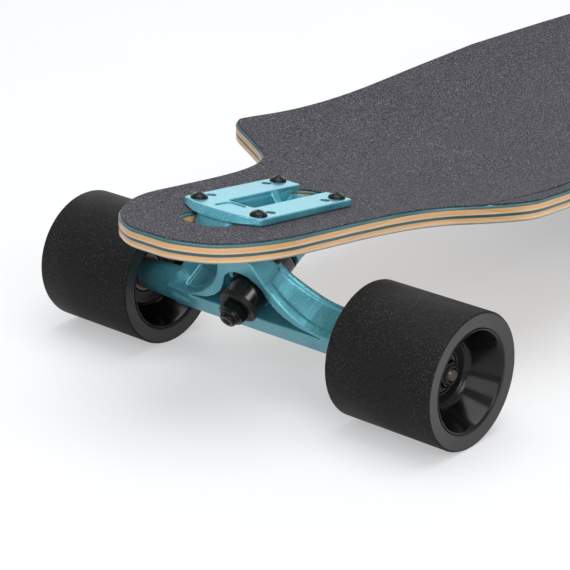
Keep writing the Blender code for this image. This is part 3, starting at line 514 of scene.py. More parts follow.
MATERIALS = {
    "teal": teal_paint("teal_paint_satin"),
    "teal_brushed": teal_paint("teal_paint_brushed", True),
    "grit": grip_grit(),
    "ply_teal": ply_edge("ply_teal", (0.012, 0.055, 0.065), (0.040, 0.135, 0.155), 0.5),
    "ply_top": ply_edge("ply_top", (0.016, 0.070, 0.082), (0.052, 0.165, 0.185), 0.5),
    "ply_maple": ply_edge("ply_maple", (0.56, 0.27, 0.095), (0.80, 0.51, 0.25)),
    "ply_pale": ply_edge("ply_pale", (0.64, 0.39, 0.20), (0.84, 0.62, 0.42)),
    "ply_line": ply_edge("ply_line", (0.10, 0.13, 0.12), (0.34, 0.36, 0.33), 0.4),
    # The deck's top face veneer, seen through the grip cut and the slots, is painted a lighter teal than the
    # dyed ply edge: a painted reflection of its glossy lacquer.
    "face_teal_painted_sheen": veneer("face_teal_painted_sheen", (0.22, 0.52, 0.57), (0.14, 0.40, 0.45)),
    "face_maple": veneer("face_maple", (0.72, 0.52, 0.31), (0.55, 0.34, 0.17)),
    "tread": speckled("urethane_tread", (0.0078, 0.0076, 0.0076), (0.080, 0.077, 0.075), 0.60, 0.00010, 0.7,
                      1250.0, 0.13),
    "lip": speckled("urethane_lip", (0.010, 0.010, 0.0105), (0.024, 0.024, 0.025),
                    0.34, 0.00003, 0.25, 1000.0, 0.5),
    "core": polished("core_plastic", (0.0025, 0.0025, 0.003), 0.16, 0.0, (60.0, 60.0, 60.0), 0.08, 0.24),
    "bushing": polished("bushing_urethane", (0.006, 0.006, 0.007), 0.20, 0.0, (80.0, 80.0, 80.0), 0.3),
    "matte_rim": speckled("washer_rim", (0.010, 0.0095, 0.009), (0.03, 0.03, 0.03),
                          0.52, 0.00004, 0.35, 1300.0, 0.3),
    "black_steel": polished("black_oxide_steel", (0.010, 0.010, 0.010), 0.20, 0.6,
                            (300.0, 300.0, 300.0), 0.0, 0.4),
    "brown_steel": polished("axle_steel_dark", (0.072, 0.052, 0.043), 0.33, 0.9, (60.0, 60.0, 1200.0)),
    "race": polished("bearing_steel", (0.12, 0.12, 0.125), 0.32, 1.0),
    "shield": speckled("bearing_shield_red", (0.24, 0.014, 0.014), (0.38, 0.05, 0.045), 0.38, 0.00003, 0.3),
    "can": polished("motor_can_black", (0.018, 0.018, 0.020), 0.32, 0.7, (80.0, 80.0, 1500.0)),
    "stator": polished("motor_stator", (0.080, 0.080, 0.086), 0.42, 0.7),
    "shell": speckled("enclosure_shell", (0.020, 0.020, 0.022), (0.034, 0.034, 0.037),
                      0.55, 0.00016, 0.5, 800.0),
    "rubber": speckled("soft_rubber", (0.015, 0.015, 0.016), (0.030, 0.030, 0.030), 0.60, 0.00004, 0.3),
    "sheath": polished("cable_sheath_black", (0.014, 0.014, 0.015), 0.48, 0.0, (50.0, 50.0, 50.0)),
    "wrap": polished("battery_film", (0.030, 0.105, 0.220), 0.26, 0.0, (20.0, 20.0, 20.0), 0.4),
    "case": polished("controller_case_grey", (0.30, 0.31, 0.32), 0.36, 0.9, (1500.0, 60.0, 60.0)),
    "brass": polished("contact_brass", (0.70, 0.48, 0.20), 0.25, 1.0),
    "lamp": polished("button_ring", (0.42, 0.60, 0.66), 0.25, 0.0),
}


# ---------------------------------------------------------------- the deck
def deck_rise(x, y):
    """Height of the riding surface over the middle of the board."""
    flat_end = AXLE_X - PLATFORM_LENGTH_IN
    flat_start = flat_end - ROCKER_RADIUS * math.sin(PLATFORM_TILT)
    bent = min(max(abs(x) - flat_start, 0.0), flat_end - flat_start)
    rise = ROCKER_RADIUS - math.sqrt(ROCKER_RADIUS ** 2 - bent ** 2)
    rise += max(abs(x) - flat_end, 0.0) * math.tan(PLATFORM_TILT)
    side = max(abs(y) - FLAT_HALF_WIDTH, 0.0) / CONCAVE_REACH
    return rise + CONCAVE_RISE * side ** CONCAVE_POWER


MIDDLE_TOP = PLATFORM_TOP - deck_rise(AXLE_X, 0.0)


def deck_height(x, y, offset):
    return MIDDLE_TOP + deck_rise(x, y) + offset


def deck_outline(inset):
    """The whole outline, from a quarter that starts at the nose tip and ends at the mid rail."""
    nose = [(NOSE_REACH, 0.0), (0.0884, 0.0150), (0.0785, 0.0315), (0.0625, 0.0435),
            (0.0410, 0.0505), (0.0135, 0.0517), (-0.0175, 0.0526), (-0.0430, 0.0550),
            (-0.0620, 0.0602), (-0.0745, 0.0690), (-0.0830, 0.0850), (-0.0895, 0.1005)]
    tip = [(-0.0950, 0.1060), (-0.1040, 0.1072)]
    rail = [(-0.1350, 0.1052), (-0.1650, 0.1044), (-0.2100, 0.1051), (-0.2700, 0.1075),
            (-AXLE_X, MIDDLE_HALF_WIDTH)]
    quarter = smooth_line(nose + tip + rail, 9)[:-1]
    quarter = [Vector((AXLE_X + point.x, point.y)) for point in quarter]
    half = quarter + [Vector((0.0, MIDDLE_HALF_WIDTH))]
    half += [Vector((-point.x, point.y)) for point in reversed(quarter)]
    ring = half + [Vector((point.x, -point.y)) for point in reversed(half[1:-1])]
    moved = []
    for before, here, after in zip([ring[-1]] + ring, ring, ring[1:] + ring[:1]):
        along = (after - before).normalized()
        moved.append((here.x - along.y * inset, here.y + along.x * inset))
    return moved


def on_deck(end, points):
    """Points of a truck's own plane as seen from above."""
    way = 1.0 if end == "front" else -1.0
    return [(way * (AXLE_X + u * math.cos(PLATFORM_TILT)), way * v) for u, v in points]


def deck_openings(growth, screw):
    cuts = []
    for end in ("front", "rear"):
        slot = rounded_box(-0.0470 - growth, 0.0562 + growth, 0.0145 + growth, 0.0105 + growth)
        cuts.append(on_deck(end, slot))
        cuts += [on_deck(end, circle(place, screw, 16)) for place in BOLTS]
    return cuts


def deck_sheet(name, outline, cuts, levels, caps, materials, spacing=0.0055):
    """A sheet that follows the deck. Each level is (offset, inset, material of the band below it)."""
    spots, triangles = filled([facing_up(outline)], [facing_up(cut) for cut in cuts], spacing)
    edges = {(a, b) for tri in triangles for a, b in zip(tri, tri[1:] + tri[:1])}
    following = {a: b for a, b in edges if (b, a) not in edges}
    leading = {b: a for a, b in following.items()}
    inward = {}
    for spot, after in following.items():
        along = (spots[after] - spots[leading[spot]]).normalized()
        inward[spot] = Vector((-along.y, along.x))
    shape = bmesh.new()
    rings = []
    for offset, inset, _ in levels:
        ring = {}
        for spot, way in inward.items():
            point = spots[spot] + way * inset
            ring[spot] = shape.verts.new((*point, deck_height(*point, offset)))
        rings.append(ring)
    for cap, level, ring in ((0, levels[0], rings[0]), (1, levels[-1], rings[-1])):
        corners = dict(ring)
        for triangle in triangles:
            for spot in triangle:
                if spot not in corners:
                    corners[spot] = shape.verts.new((*spots[spot], deck_height(*spots[spot], level[0])))
            face = shape.faces.new([corners[spot] for spot in triangle])
            face.material_index = caps[cap]
    for upper, lower, level in zip(rings, rings[1:], levels):
        for spot, after in following.items():
            face = shape.faces.new((upper[after], upper[spot], lower[spot], lower[after]))
            face.material_index = level[2]
    return finished(name, shape, materials, None, 40.0)


def grip_lines():
    """The curved cut near one rail that bares the dyed top ply, and its twin at the other end."""
    inner = [(0.2620, 0.0812), (0.2380, 0.0845), (0.2220, 0.0868), (0.2060, 0.0886), (0.1900, 0.0893),
             (0.1650, 0.0890), (0.1400, 0.0882)]
    outer = [(0.1650, 0.0924), (0.1900, 0.0930), (0.2060, 0.0915), (0.2220, 0.0890), (0.2380, 0.0863),
             (0.2620, 0.0835)]
    line = [tuple(point) for point in smooth_line(inner, 5) + smooth_line(outer, 5)]
    return [line, [(-x, -y) for x, y in line]]


def make_deck():
    maple, teal, pale, line, top = 0, 1, 2, 3, 6
    bands = [(0.0, 0.00100, top), (0.00035, 0.00035, top), (0.00090, 0.0, top), (0.00160, 0.0, maple),
             (0.00400, 0.0, pale), (0.00480, 0.0, teal), (0.00645, 0.0, maple), (0.00800, 0.0, pale),
             (0.00935, 0.0, line), (0.00965, 0.00015, line), (DECK_THICKNESS, 0.00100, line)]
    levels = [(DECK_TOP - depth, inset, band) for depth, inset, band in bands]
    slots = [MATERIALS[key] for key in ("ply_maple", "ply_teal", "ply_pale", "ply_line", "face_teal_painted_sheen",
                                      "face_maple", "ply_top")]
    deck = deck_sheet("deck_plies", deck_outline(0.0), deck_openings(0.0, 0.0028), levels, (4, 5), slots)
    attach(deck, ROOT)
    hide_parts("deck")
    levels = [(GRIP_TOP, 0.0002, 0), (GRIP_TOP - 0.0002, 0.0, 0), (GRIP_BOTTOM, 0.0, 0)]
    grip = deck_sheet("grip_sheet", deck_outline(0.0010),
                      deck_openings(0.0010, 0.0030) + grip_lines(), levels,
                      (0, 0), [MATERIALS["grit"]])
    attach(grip, ROOT)
    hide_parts("grip_tape")


# ---------------------------------------------------------------- wheels
def paint_where(obj, material, test):
    """Gives the faces that pass the test another material."""
    obj.data.materials.append(material)
    index = len(obj.data.materials) - 1
    for face in obj.data.polygons:
        if test(face):
            face.material_index = index
    return obj


def dress(obj, body, slot, *nodes):
    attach(obj, body)
    if nodes:
        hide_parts(*nodes)
    return obj


def wheel_tyre(end, side, core_radius):
    edge = WHEEL_HALF_WIDTH
    tread = WHEEL_RADIUS
    half = [(tread, 0.0), (tread, edge - 0.0011), (tread - 0.0003, edge - 0.0004), (tread - 0.0011, edge),
            (core_radius + 0.0045, edge - 0.0002), (core_radius + 0.0007, edge - 0.0005),
            (core_radius, edge - 0.0010)]
    profile = list(reversed(half)) + [(radius, -height) for radius, height in half[1:]]
    profile += [(core_radius, -0.02), (core_radius, 0.02)]
    tyre = turned(f"{end}_{side}_wheel_urethane", profile, 160, MATERIALS["tread"], hub_matrix(end, side),
                  angle=24.0)
    paint_where(tyre, MATERIALS["lip"], lambda face: face.center.xy.length < tread - 0.0010)
    dress(tyre, f"{end}_{side}_wheel", "black_urethane", f"{end}_{side}_tyre")


def front_core(side):
    """The conical core with a stepped seat for each bearing."""
    half = [(0.0279, 0.0323), (0.0274, 0.0326), (0.0268, 0.0322), (0.0258, 0.0300), (0.0200, 0.0174),
            (0.0192, 0.0164), (0.0188, 0.0160), (0.0183, 0.0158), (0.0178, 0.0150), (0.0118, 0.0150),
            (0.0112, 0.0147), (0.0112, 0.0070), (0.0092, 0.0070)]
    profile = half + [(radius, -height) for radius, height in reversed(half)]
    profile = eased(profile, 0.0004, 2)
    core = turned(f"front_{side}_core", profile, 128, MATERIALS["core"], hub_matrix("front", side),
                  angle=35.0)
    dress(core, f"front_{side}_wheel", "wheel_core", f"front_{side}_wheel_core")


def bearing(name, place, body, node, way):
    """Outer and inner race with a shallow red shield between them."""
    high = BEARING_FACE
    ring = [(0.01095, high - 0.0004), (0.0107, high), (0.0093, high), (0.0092, high - 0.0006),
            (0.0065, high - 0.0006), (0.0064, high), (0.0046, high), (0.0044, high - 0.0003),
            (0.0044, high - 0.0070), (0.01095, high - 0.0070)]
    made = turned(name, [(radius, way * height) for radius, height in ring], 72, MATERIALS["race"], place)
    paint_where(made, MATERIALS["shield"],
                lambda face: 0.0064 < face.center.xy.length < 0.0092 and abs(face.center.z) > high - 0.002)
    dress(made, body, "bearing_shield", node)


def hex_nut(name, corner, bore, height, material, place):
    """A chamfered hexagon nut with a rounded collar on top."""
    side_count = 6
    body = prism(name, [circle((0.0, 0.0), corner, side_count)], 0.0, height, material, place)
    flat = corner * math.cos(math.pi / side_count)
    limit = [(0.0, -0.0001), (flat - 0.0001, -0.0001), (corner + 0.0002, 0.0007),
             (corner + 0.0002, height * 0.66),
             (flat - 0.0001, height * 0.66 + 0.0008), (flat - 0.0008, height * 0.66 + 0.0009),
             (flat - 0.0010, height * 0.90), (flat - 0.0018, height), (0.0, height)]
    trim = turned("trim", limit, 60, material, place, closed=False)
    combined(body, [trim], "INTERSECT")
    hole = turned("hole", [(0.0, height + 0.001), (bore + 0.0004, height + 0.001), (bore, height - 0.0006),
                           (bore, -0.001), (0.0, -0.001)], 40, material, place, closed=False)
    combined(body, [hole], "DIFFERENCE")
    return smooth(body, 28.0)


def threads(radius, start, end, pitch=0.00105, depth=0.00045):
    """Profile points of a ridged stretch from start up to end."""
    points = []
    count = int((end - start) / pitch)
    for index in range(count):
        low = start + index * pitch
        points += [(radius - depth, low), (radius, low + pitch * 0.45), (radius, low + pitch * 0.60)]
    return points


def make_axle(end):
    swing = steer_matrix(end)
    body = f"{end}_hanger"
    low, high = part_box(f"{end}_axle")
    half = (high.y - low.y) / 2
    tip = [(0.0, half), (AXLE_RADIUS - 0.0012, half), (AXLE_RADIUS - 0.0003, half - 0.0008)]
    ridges = list(reversed(threads(AXLE_RADIUS, half - 0.0135, half - 0.0008)))
    profile = tip + ridges + [(AXLE_RADIUS, half - 0.0140)]
    profile += [(radius, -height) for radius, height in reversed(profile)]
    lay = swing @ Matrix.Translation((RAKE, 0.0, AXLE_ALONG)) @ ALONG_Y
    axle = turned(f"{end}_axle_rod", profile, 40, MATERIALS["brown_steel"], lay, closed=False)
    dress(axle, body, "axle_steel", f"{end}_axle")
    for side, _ in sides(end):
        place = hub_matrix(end, side) @ Matrix.Translation((0.0, 0.0, BEARING_FACE + GAP))
        nut = hex_nut(f"{end}_{side}_lock_nut", 0.0075, AXLE_RADIUS + 0.0001, 0.0056,
                      MATERIALS["black_steel"], place)
        dress(nut, body, "axle_steel", f"{end}_{side}_axle_nut")


def motor_wheel(side):
    """The outer can of a hub motor with vents and screws on its face."""
    place = hub_matrix("rear", side)
    outer = [(0.0306, 0.0320), (0.0302, 0.0326), (0.0290, 0.0326), (0.0284, 0.0318), (0.0262, 0.0250),
             (0.0240, 0.0192), (0.0215, 0.0166), (0.0150, 0.0158), (0.0140, 0.0150), (0.0118, 0.0150),
             (0.0112, 0.0144), (0.0092, 0.0144), (0.0088, 0.0138), (0.0044, 0.0138), (0.0044, 0.0078),
             (0.0264, 0.0078), (0.0264, -0.0322), (0.0268, -0.0326), (0.0302, -0.0326), (0.0306, -0.0322)]
    can = turned(f"rear_{side}_motor_case", outer, 128, MATERIALS["can"], place, angle=35.0)
    cutters = []
    for index in range(6):
        spin = place @ Matrix.Rotation(math.tau * index / 6, 4, "Z")
        slot = [(0.0165, -0.0017), (0.0205, -0.0026), (0.0205, 0.0026), (0.0165, 0.0017)]
        cutters.append(prism("vent", [eased(slot, 0.0016)], 0.0130, 0.0300, MATERIALS["can"], spin))
    combined(can, cutters, "DIFFERENCE")
    smooth(can, 35.0)
    dress(can, f"rear_{side}_wheel", "motor_can", f"rear_{side}_motor_rotor")
    places = [place @ Matrix.Translation((0.0184 * math.cos(spot), 0.0184 * math.sin(spot), 0.0160))
              for spot in (math.tau * (index + 0.5) / 6 for index in range(6))]
    heads = socket_heads(f"rear_{side}_case_screws", 0.0019, 0.0013, places)
    dress(heads, f"rear_{side}_wheel", "black_steel")


def repaint(node, key):
    """Gives a CAD node that keeps its shape its final material."""
    slots = frame["nodes"][node].data.materials
    slots.clear()
    slots.append(MATERIALS[key])


def joined(obj, other):
    """Adds another object's mesh to this one."""
    shape = bmesh.new()
    shape.from_mesh(obj.data)
    count = len(shape.verts)
    shape.from_mesh(other.data)
    shape.verts.ensure_lookup_table()
    move = obj.matrix_world.inverted() @ other.matrix_world
    bmesh.ops.transform(shape, matrix=move, verts=shape.verts[count:])
    shape.to_mesh(obj.data)
    shape.free()
    bpy.data.objects.remove(other, do_unlink=True)
    return smooth(obj)


def socket_screw(name, radius, height, place):
    """A button head with a hexagon socket."""
    dome = [(0.0, height), (radius * 0.55, height), (radius * 0.9, height * 0.75), (radius, height * 0.25),
            (radius, -0.0002), (0.0, -0.0002)]
    head = turned(name, dome, 24, MATERIALS["black_steel"], place, closed=False)
    socket = prism("socket", [circle((0.0, 0.0), radius * 0.5, 6)], height * 0.35, height + 0.001,
                   MATERIALS["black_steel"], place)
    return smooth(combined(head, [socket], "DIFFERENCE"))


def socket_heads(name, radius, height, places):
    """Several equal screw heads as one piece."""
    heads, *others = [socket_screw("head", radius, height, place) for place in places]
    for other in others:
        joined(heads, other)
    heads.name = name
    return heads


def make_wheels():
    for side in ("left", "right"):
        wheel_tyre("front", side, CORE_SEAT)
        front_core(side)
        for face, way in (("outer", 1), ("inner", -1)):
            bearing(f"front_{side}_{face}_race", hub_matrix("front", side), f"front_{side}_wheel",
                    f"front_{side}_{face}_bearing", way)
        wheel_tyre("rear", side, ROTOR_SEAT)
        motor_wheel(side)
        repaint(f"rear_{side}_motor_stator", "stator")


# ---------------------------------------------------------------- trucks
def make_baseplate(end):
    """The cast plate: two flat arms and a bridge, a channel with a saddle rib, and the blocks below them."""
    truck = truck_matrix(end)
    fixed = steer_matrix(end)
    paint = MATERIALS["teal"]
    front = [(0.0352, -0.0272), (0.0395, -0.0200), (0.0422, -0.0150), (0.0436, -0.0085), (0.0440, 0.0),
             (0.0436, 0.0085), (0.0422, 0.0150), (0.0395, 0.0200), (0.0352, 0.0272)]
    back = [(-0.0390, 0.0272), (-0.0390, 0.0090), (0.0206, 0.0090), (0.0206, -0.0090), (-0.0390, -0.0090),
            (-0.0390, -0.0272)]
    plate = prism(f"{end}_baseplate_casting", [eased(front + back, 0.0018)], 0.0, FLANGE, paint, truck)
    for spot in plate.data.vertices:
        if spot.co.z > FLANGE / 2 and spot.co.x > 0.030:
            spot.co.x -= 0.0045 * max(0.0, 1.0 - (spot.co.y / 0.0280) ** 2)
    bevelled(plate, 0.0004, 2)
    nose = arc((0.0395, 0.0050), 0.0080, 0, 90, 8) + [(-0.0315, 0.0130), (-0.0315, 0.0086), (0.0206, 0.0086)]
    nose += [(u, -v) for u, v in reversed(nose)]
    channel = prism("channel", [nose], -0.0120, FLANGE - 0.0028, paint, truck)
    for spot in channel.data.vertices:
        if spot.co.z > 0.0 and spot.co.x > 0.036:
            spot.co.x -= 0.0048 * (spot.co.x - 0.036) / 0.0115
    boss = rod("boss", 0.0122, (-0.0195, 0, 0), (-0.0500, 0, 0), paint, fixed, 40)
    neck = block("neck", (-0.0400, -0.0115, -0.0060), (-0.0240, 0.0115, 0.0120), paint, fixed)
    bridge = block("bridge", (-0.0290, -0.0100, -0.0160), (0.0280, 0.0100, -0.0070), paint, truck)
    saddle = [(0.0095, -0.0080), (0.0095, 0.0032), (0.0086, 0.0030), (0.0076, 0.0016), (0.0062, -0.0008),
              (0.0040, -0.0026), (0.0, -0.0034)]
    saddle += [(-v, n) for v, n in reversed(saddle[:-1])]
    web = prism("web", [saddle], -0.0190, -0.0140, paint, truck @ FACING)
    socket = rod("socket", 0.0104, (0, 0, PIVOT_ALONG - 0.0070), (0, 0, PIVOT_ALONG + 0.0094),
                 paint, fixed, 36)
    combined(plate, [channel, boss, neck, bridge, web, socket], "UNION")
    cast(plate, 0.00045, 3)
    inner = [(0.0222, -0.0048), (0.0238, -0.0066), (0.0320, -0.0074), (0.0348, -0.0060), (0.0360, 0.0),
             (0.0348, 0.0060), (0.0320, 0.0074), (0.0238, 0.0066), (0.0222, 0.0048)]
    pad = prism("pad", [eased(inner, 0.003)], FLANGE - 0.0006, FLANGE + 0.004, paint, truck)
    bore = rod("bore", 0.0051, (-0.0100, 0, 0), (-0.0700, 0, 0), paint, fixed, 32)
    seat = rod("seat", 0.0083, (-0.0450, 0, 0), (-0.0900, 0, 0), paint, fixed, 32)
    cup = rod("cup", 0.0083, (0, 0, PIVOT_ALONG + 0.0067), (0, 0, PIVOT_ALONG - 0.0200), paint, fixed, 32)
    holes = [rod("hole", 0.0027, (u, v, -0.002), (u, v, 0.008), paint, truck, 20)
             for u, v in BOLTS + SPARE_HOLES]
    combined(plate, [pad, bore, seat, cup] + holes, "DIFFERENCE")
    smooth(plate, 38.0)
    dress(plate, ROOT, "teal_paint", f"{end}_baseplate")


def ridge_line(drop=0.0):
    """The hanger's upper edge on one side, seen down the kingpin and lowered by the drop."""
    points = [(0.0, 0.0270), (0.0080, 0.0260), (0.0118, 0.0225), (0.0150, 0.0165), (0.0172, 0.0118),
              (0.0200, 0.0065), (0.0240, 0.0015), (0.0300, -0.0038), (0.0370, -0.0088), (0.0450, -0.0118),
              (0.0540, -0.0130), (0.0640, -0.0132)]
    line = smooth_line(points, 4)
    lowered = []
    for before, here, after in zip([line[0]] + line, line, line[1:] + [line[-1]]):
        along = (after - before).normalized()
        lowered.append((here.x - along.y * -drop, here.y + along.x * -drop))
    return lowered


def mirrored(points):
    """A half outline closed by its mirror image."""
    return points + [(-x, y) for x, y in reversed(points) if x > 1e-6]


def make_hanger(end):
    """Cast in one, then machined: the axle bore, both bushing seats and the kingpin hole."""
    swing = steer_matrix(end)
    paint = MATERIALS["teal"]
    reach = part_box(f"{end}_hanger")[1].y
    facing = swing @ FACING
    across = swing @ ALONG_Y
    back = -0.0065 if end == "front" else -0.0040      # the rear arms leave room for the motor cables
    body = prism(f"{end}_hanger_casting", [mirrored(ridge_line() + [(0.0640, -0.0292)])], back, 0.0155, paint,
                 facing)
    ends = []
    for way in (1, -1):
        ends.append(rod("flare", 0.0070, (RAKE, way * 0.0360, AXLE_ALONG),
                        (RAKE, way * 0.0610, AXLE_ALONG), paint,
                        swing, 48, 0.0099))
        ends.append(rod("end", 0.0099, (RAKE, way * 0.0605, AXLE_ALONG),
                        (RAKE, way * reach, AXLE_ALONG), paint,
                        swing, 48, 0.0084))
    neck = rod("neck", 0.0098, (0.0020, 0, 0.0080), (0, 0, PIVOT_ALONG - 0.0110), paint, swing, 40, 0.0066)
    nose = rod("nose", 0.0052, (0, 0, 0.0200), (0, 0, PIVOT_ALONG + 0.0055), paint, swing, 32)
    combined(body, ends + [neck, nose], "UNION")
    wall = [(0.0150, 0.0035), (0.0190, -0.0025), (0.0250, -0.0075), (0.0330, -0.0114), (0.0420, -0.0138),
            (0.0490, -0.0150), (0.0490, -0.0158)]
    pocket = arc((0.0, 0.0), 0.0152, 165, 15, 17) + wall + [(-y, s) for y, s in reversed(wall)]
    hollow = prism("hollow", [pocket], 0.0005, 0.0300, paint, facing)
    slope = [(0.0300, -0.0120), (0.0155, -0.0120), (0.0142, -0.0050), (0.0128, 0.0015), (0.0114, 0.0065),
             (0.0101, 0.0140), (0.0070, 0.0290), (0.0300, 0.0290)]
    front = prism("front", [[(k, -s) for k, s in slope]], -0.0600, 0.0600, paint, across)
    relief = block("relief", (-0.0100, -0.0165, -0.0010), (-0.0040, 0.0165, 0.0400), paint, swing)
    combined(body, [hollow, front, relief], "DIFFERENCE")
    dishes = []
    for way in (1, -1):
        line = [point for point in ridge_line(0.0011) if 0.0165 < point[0] < 0.0530]
        band = line + [(0.0530, 0.0200), (0.0165, 0.0300)]
        dish = prism("dish", [[(way * y, s) for y, s in band]], -0.0036, 0.0200, paint, facing)
        rim = prism("rim", [[(k - 0.0048, -s) for k, s in [(0.0400, -0.0200), (0.0155, -0.0200)] + slope[1:-1]
                             + [(0.0070, 0.0400), (0.0400, 0.0400)]]], -0.0700, 0.0700, paint, across)
        dishes.append(combined(dish, [rim], "DIFFERENCE"))
    combined(body, dishes, "DIFFERENCE")
    seat = turned("seat", [(0.0148, 0.0062), (0.0148, -WEB_HALF), (0.0050, -WEB_HALF), (0.0050, 0.0062)],
                  48, paint,
                  swing @ LAY)
    combined(body, [seat], "UNION")
    cast(body, 0.0006, 5)
    front_seat = rod("front_seat", 0.0128, (WEB_HALF, 0, 0), (0.03, 0, 0), paint, swing, 48)
    back_seat = rod("back_seat", 0.0150, (-WEB_HALF, 0, 0), (-0.03, 0, 0), paint, swing, 48)
    hole = rod("hole", 0.0066, (-0.02, 0, 0), (0.02, 0, 0), paint, swing, 40)
    bore = rod("bore", 0.0043, (RAKE, -0.15, AXLE_ALONG), (RAKE, 0.15, AXLE_ALONG), paint, swing, 32)
    combined(body, [front_seat, back_seat, hole, bore], "DIFFERENCE")
    smooth(body, 40.0)
    down = (facing.inverted() @ swing).to_3x3() @ Vector((1.0, 0.0, 0.0))
    paint_where(body, MATERIALS["teal_brushed"],
                lambda face: 0.0165 < abs(face.center.x) < 0.0640 and abs(face.normal.dot(down)) < 0.6
                and face.normal.y > 0.3 and face.center.y > -0.0200)
    dress(body, f"{end}_hanger", "teal_paint", f"{end}_hanger")


def make_kingpin(end):
    """Kingpin, nut, bushings and washers, turned about the kingpin's own line."""
    place = steer_matrix(end) @ LAY
    black = MATERIALS["black_steel"]
    tip = 0.0312
    pin = [(0.0, tip - 0.0016), (0.0017, tip - 0.0014), (0.0024, tip), (0.0040, tip), (0.0046, tip - 0.0006)]
    pin += list(reversed(threads(KINGPIN_RADIUS, 0.0200, tip - 0.0006)))
    pin += [(KINGPIN_RADIUS, 0.0195), (KINGPIN_RADIUS, -0.0455), (0.0078, -0.0455), (0.0078, -0.0495),
            (0.0072, -0.0500), (0.0, -0.0500)]
    kingpin = turned(f"{end}_kingpin_bolt", pin, 40, black, place, closed=False)
    dress(kingpin, ROOT, "black_steel", f"{end}_kingpin")
    low = 0.00305
    high = low + 0.0150
    ending = low + 0.0168
    bore = BUSHING_BORE
    cone = [(0.0094, ending), (0.0100, ending - 0.0005), (0.0119, low + 0.0026), (0.0120, low + 0.0014),
            (0.0112, low), (bore, low), (bore, ending)]
    road = turned(f"{end}_roadside_cone", cone, 72, MATERIALS["bushing"], place)
    dress(road, ROOT, "black_bushing", f"{end}_roadside_bushing")
    barrel = [(0.0116, -low), (0.0120, -low - 0.0006), (0.0124, -low - 0.0060), (0.0122, -high + 0.0018),
              (0.0116, -high + 0.0010), (bore, -high + 0.0010), (bore, -low)]
    board = turned(f"{end}_boardside_barrel", barrel, 72, MATERIALS["bushing"], place)
    dress(board, ROOT, "black_bushing", f"{end}_boardside_bushing")
    base = ending + GAP
    cup = [(0.0110, base + 0.0012), (0.0114, base + 0.0009), (0.0115, base - 0.0018), (0.0108, base - 0.0018),
           (0.0105, base), (bore, base), (bore, base + 0.0008),
           (0.0086, base + 0.0008), (0.0092, base + 0.0012)]
    washer = turned(f"{end}_cup_washer", cup, 72, MATERIALS["matte_rim"], place)
    dress(washer, ROOT, "black_steel", f"{end}_roadside_washer")
    flat = -high + 0.0007
    plate = [(0.0119, flat), (0.0122, flat - 0.0003), (0.0122, flat - 0.0009), (0.0119, flat - 0.0012),
             (bore, flat - 0.0012), (bore, flat)]
    back = turned(f"{end}_flat_washer", plate, 72, black, place)
    dress(back, ROOT, "black_steel", f"{end}_boardside_washer")
    nut = hex_nut(f"{end}_kingpin_locknut", 0.0082, 0.0049, 0.0072, black,
                  place @ Matrix.Translation((0.0, 0.0, base + 0.0015))
                  @ Matrix.Rotation(math.radians(12.0), 4, "Z"))
    dress(nut, ROOT, "black_steel", f"{end}_kingpin_nut")
    lining = [(0.0083, 0.0064), (0.0083, -0.0064), (0.0055, -0.0064), (0.0055, 0.0064)]
    cup = turned(f"{end}_pivot_lining", eased(lining, 0.0004), 48, MATERIALS["rubber"],
                 steer_matrix(end) @ Matrix.Translation((0.0, 0.0, PIVOT_ALONG)))
    dress(cup, ROOT, "black_bushing", f"{end}_pivot_cup")


def make_screws(end):
    """Domed cross-recess screws with a lock nut under the deck."""
    black = MATERIALS["black_steel"]
    names = {way: side for side, way in sides(end)}
    top = FLANGE + 0.0002
    under = DECK_TOP - DECK_THICKNESS - GAP
    for count, (u, v) in enumerate(BOLTS):
        corner = ("outer_" if u > 0 else "inner_") + names[1 if v > 0 else -1]
        twist = Matrix.Rotation(0.5 + 0.9 * count, 4, "Z")
        place = truck_matrix(end) @ Matrix.Translation((u, v, 0.0)) @ twist
        dome = [(0.0, top + 0.0027), (0.0013, top + 0.0026), (0.0027, top + 0.0021), (0.0039, top + 0.0013),
                (0.0046, top + 0.0005), (0.0047, top), (0.0043, top - 0.0002), (SCREW_RADIUS, top - 0.0002)]
        ridges = threads(SCREW_RADIUS, under - 0.0060, under + 0.001, 0.0008, 0.0003)
        dome += [(SCREW_RADIUS, under + 0.001)] + list(reversed(ridges))
        dome += [(0.0020, under - 0.0064), (0.0, under - 0.0064)]
        screw = turned(f"{end}_screw_{corner}", dome, 36, black, place, closed=False)
        arms = [block("arm", (-0.0022, -0.00042, top + 0.0008), (0.0022, 0.00042, top + 0.004), black,
                      place @ Matrix.Rotation(turn, 4, "Z")) for turn in (0.0, math.pi / 2)]
        combined(screw, arms, "DIFFERENCE")
        smooth(screw, 34.0)
        lower = place @ Matrix.Translation((0.0, 0.0, under)) @ UPSIDE_DOWN
        joined(screw, hex_nut("nut", 0.0047, 0.0025, 0.0042, black, lower))
        dress(screw, ROOT, "black_steel", f"{end}_mount_screw_{corner}")


# ---------------------------------------------------------------- the electric parts
def lofted(name, rings, material, angle=35.0):
    """A closed solid through rings of points, with flat ends."""
    shape = bmesh.new()
    made = [[shape.verts.new(point) for point in ring] for ring in rings]
    for first, second in zip(made, made[1:]):
        for a, b, c, d in zip(first, first[1:] + first[:1], second[1:] + second[:1], second):
            shape.faces.new((a, b, c, d))
    shape.faces.new(made[0])
    shape.faces.new(list(reversed(made[-1])))
    return finished(name, shape, material, None, angle)


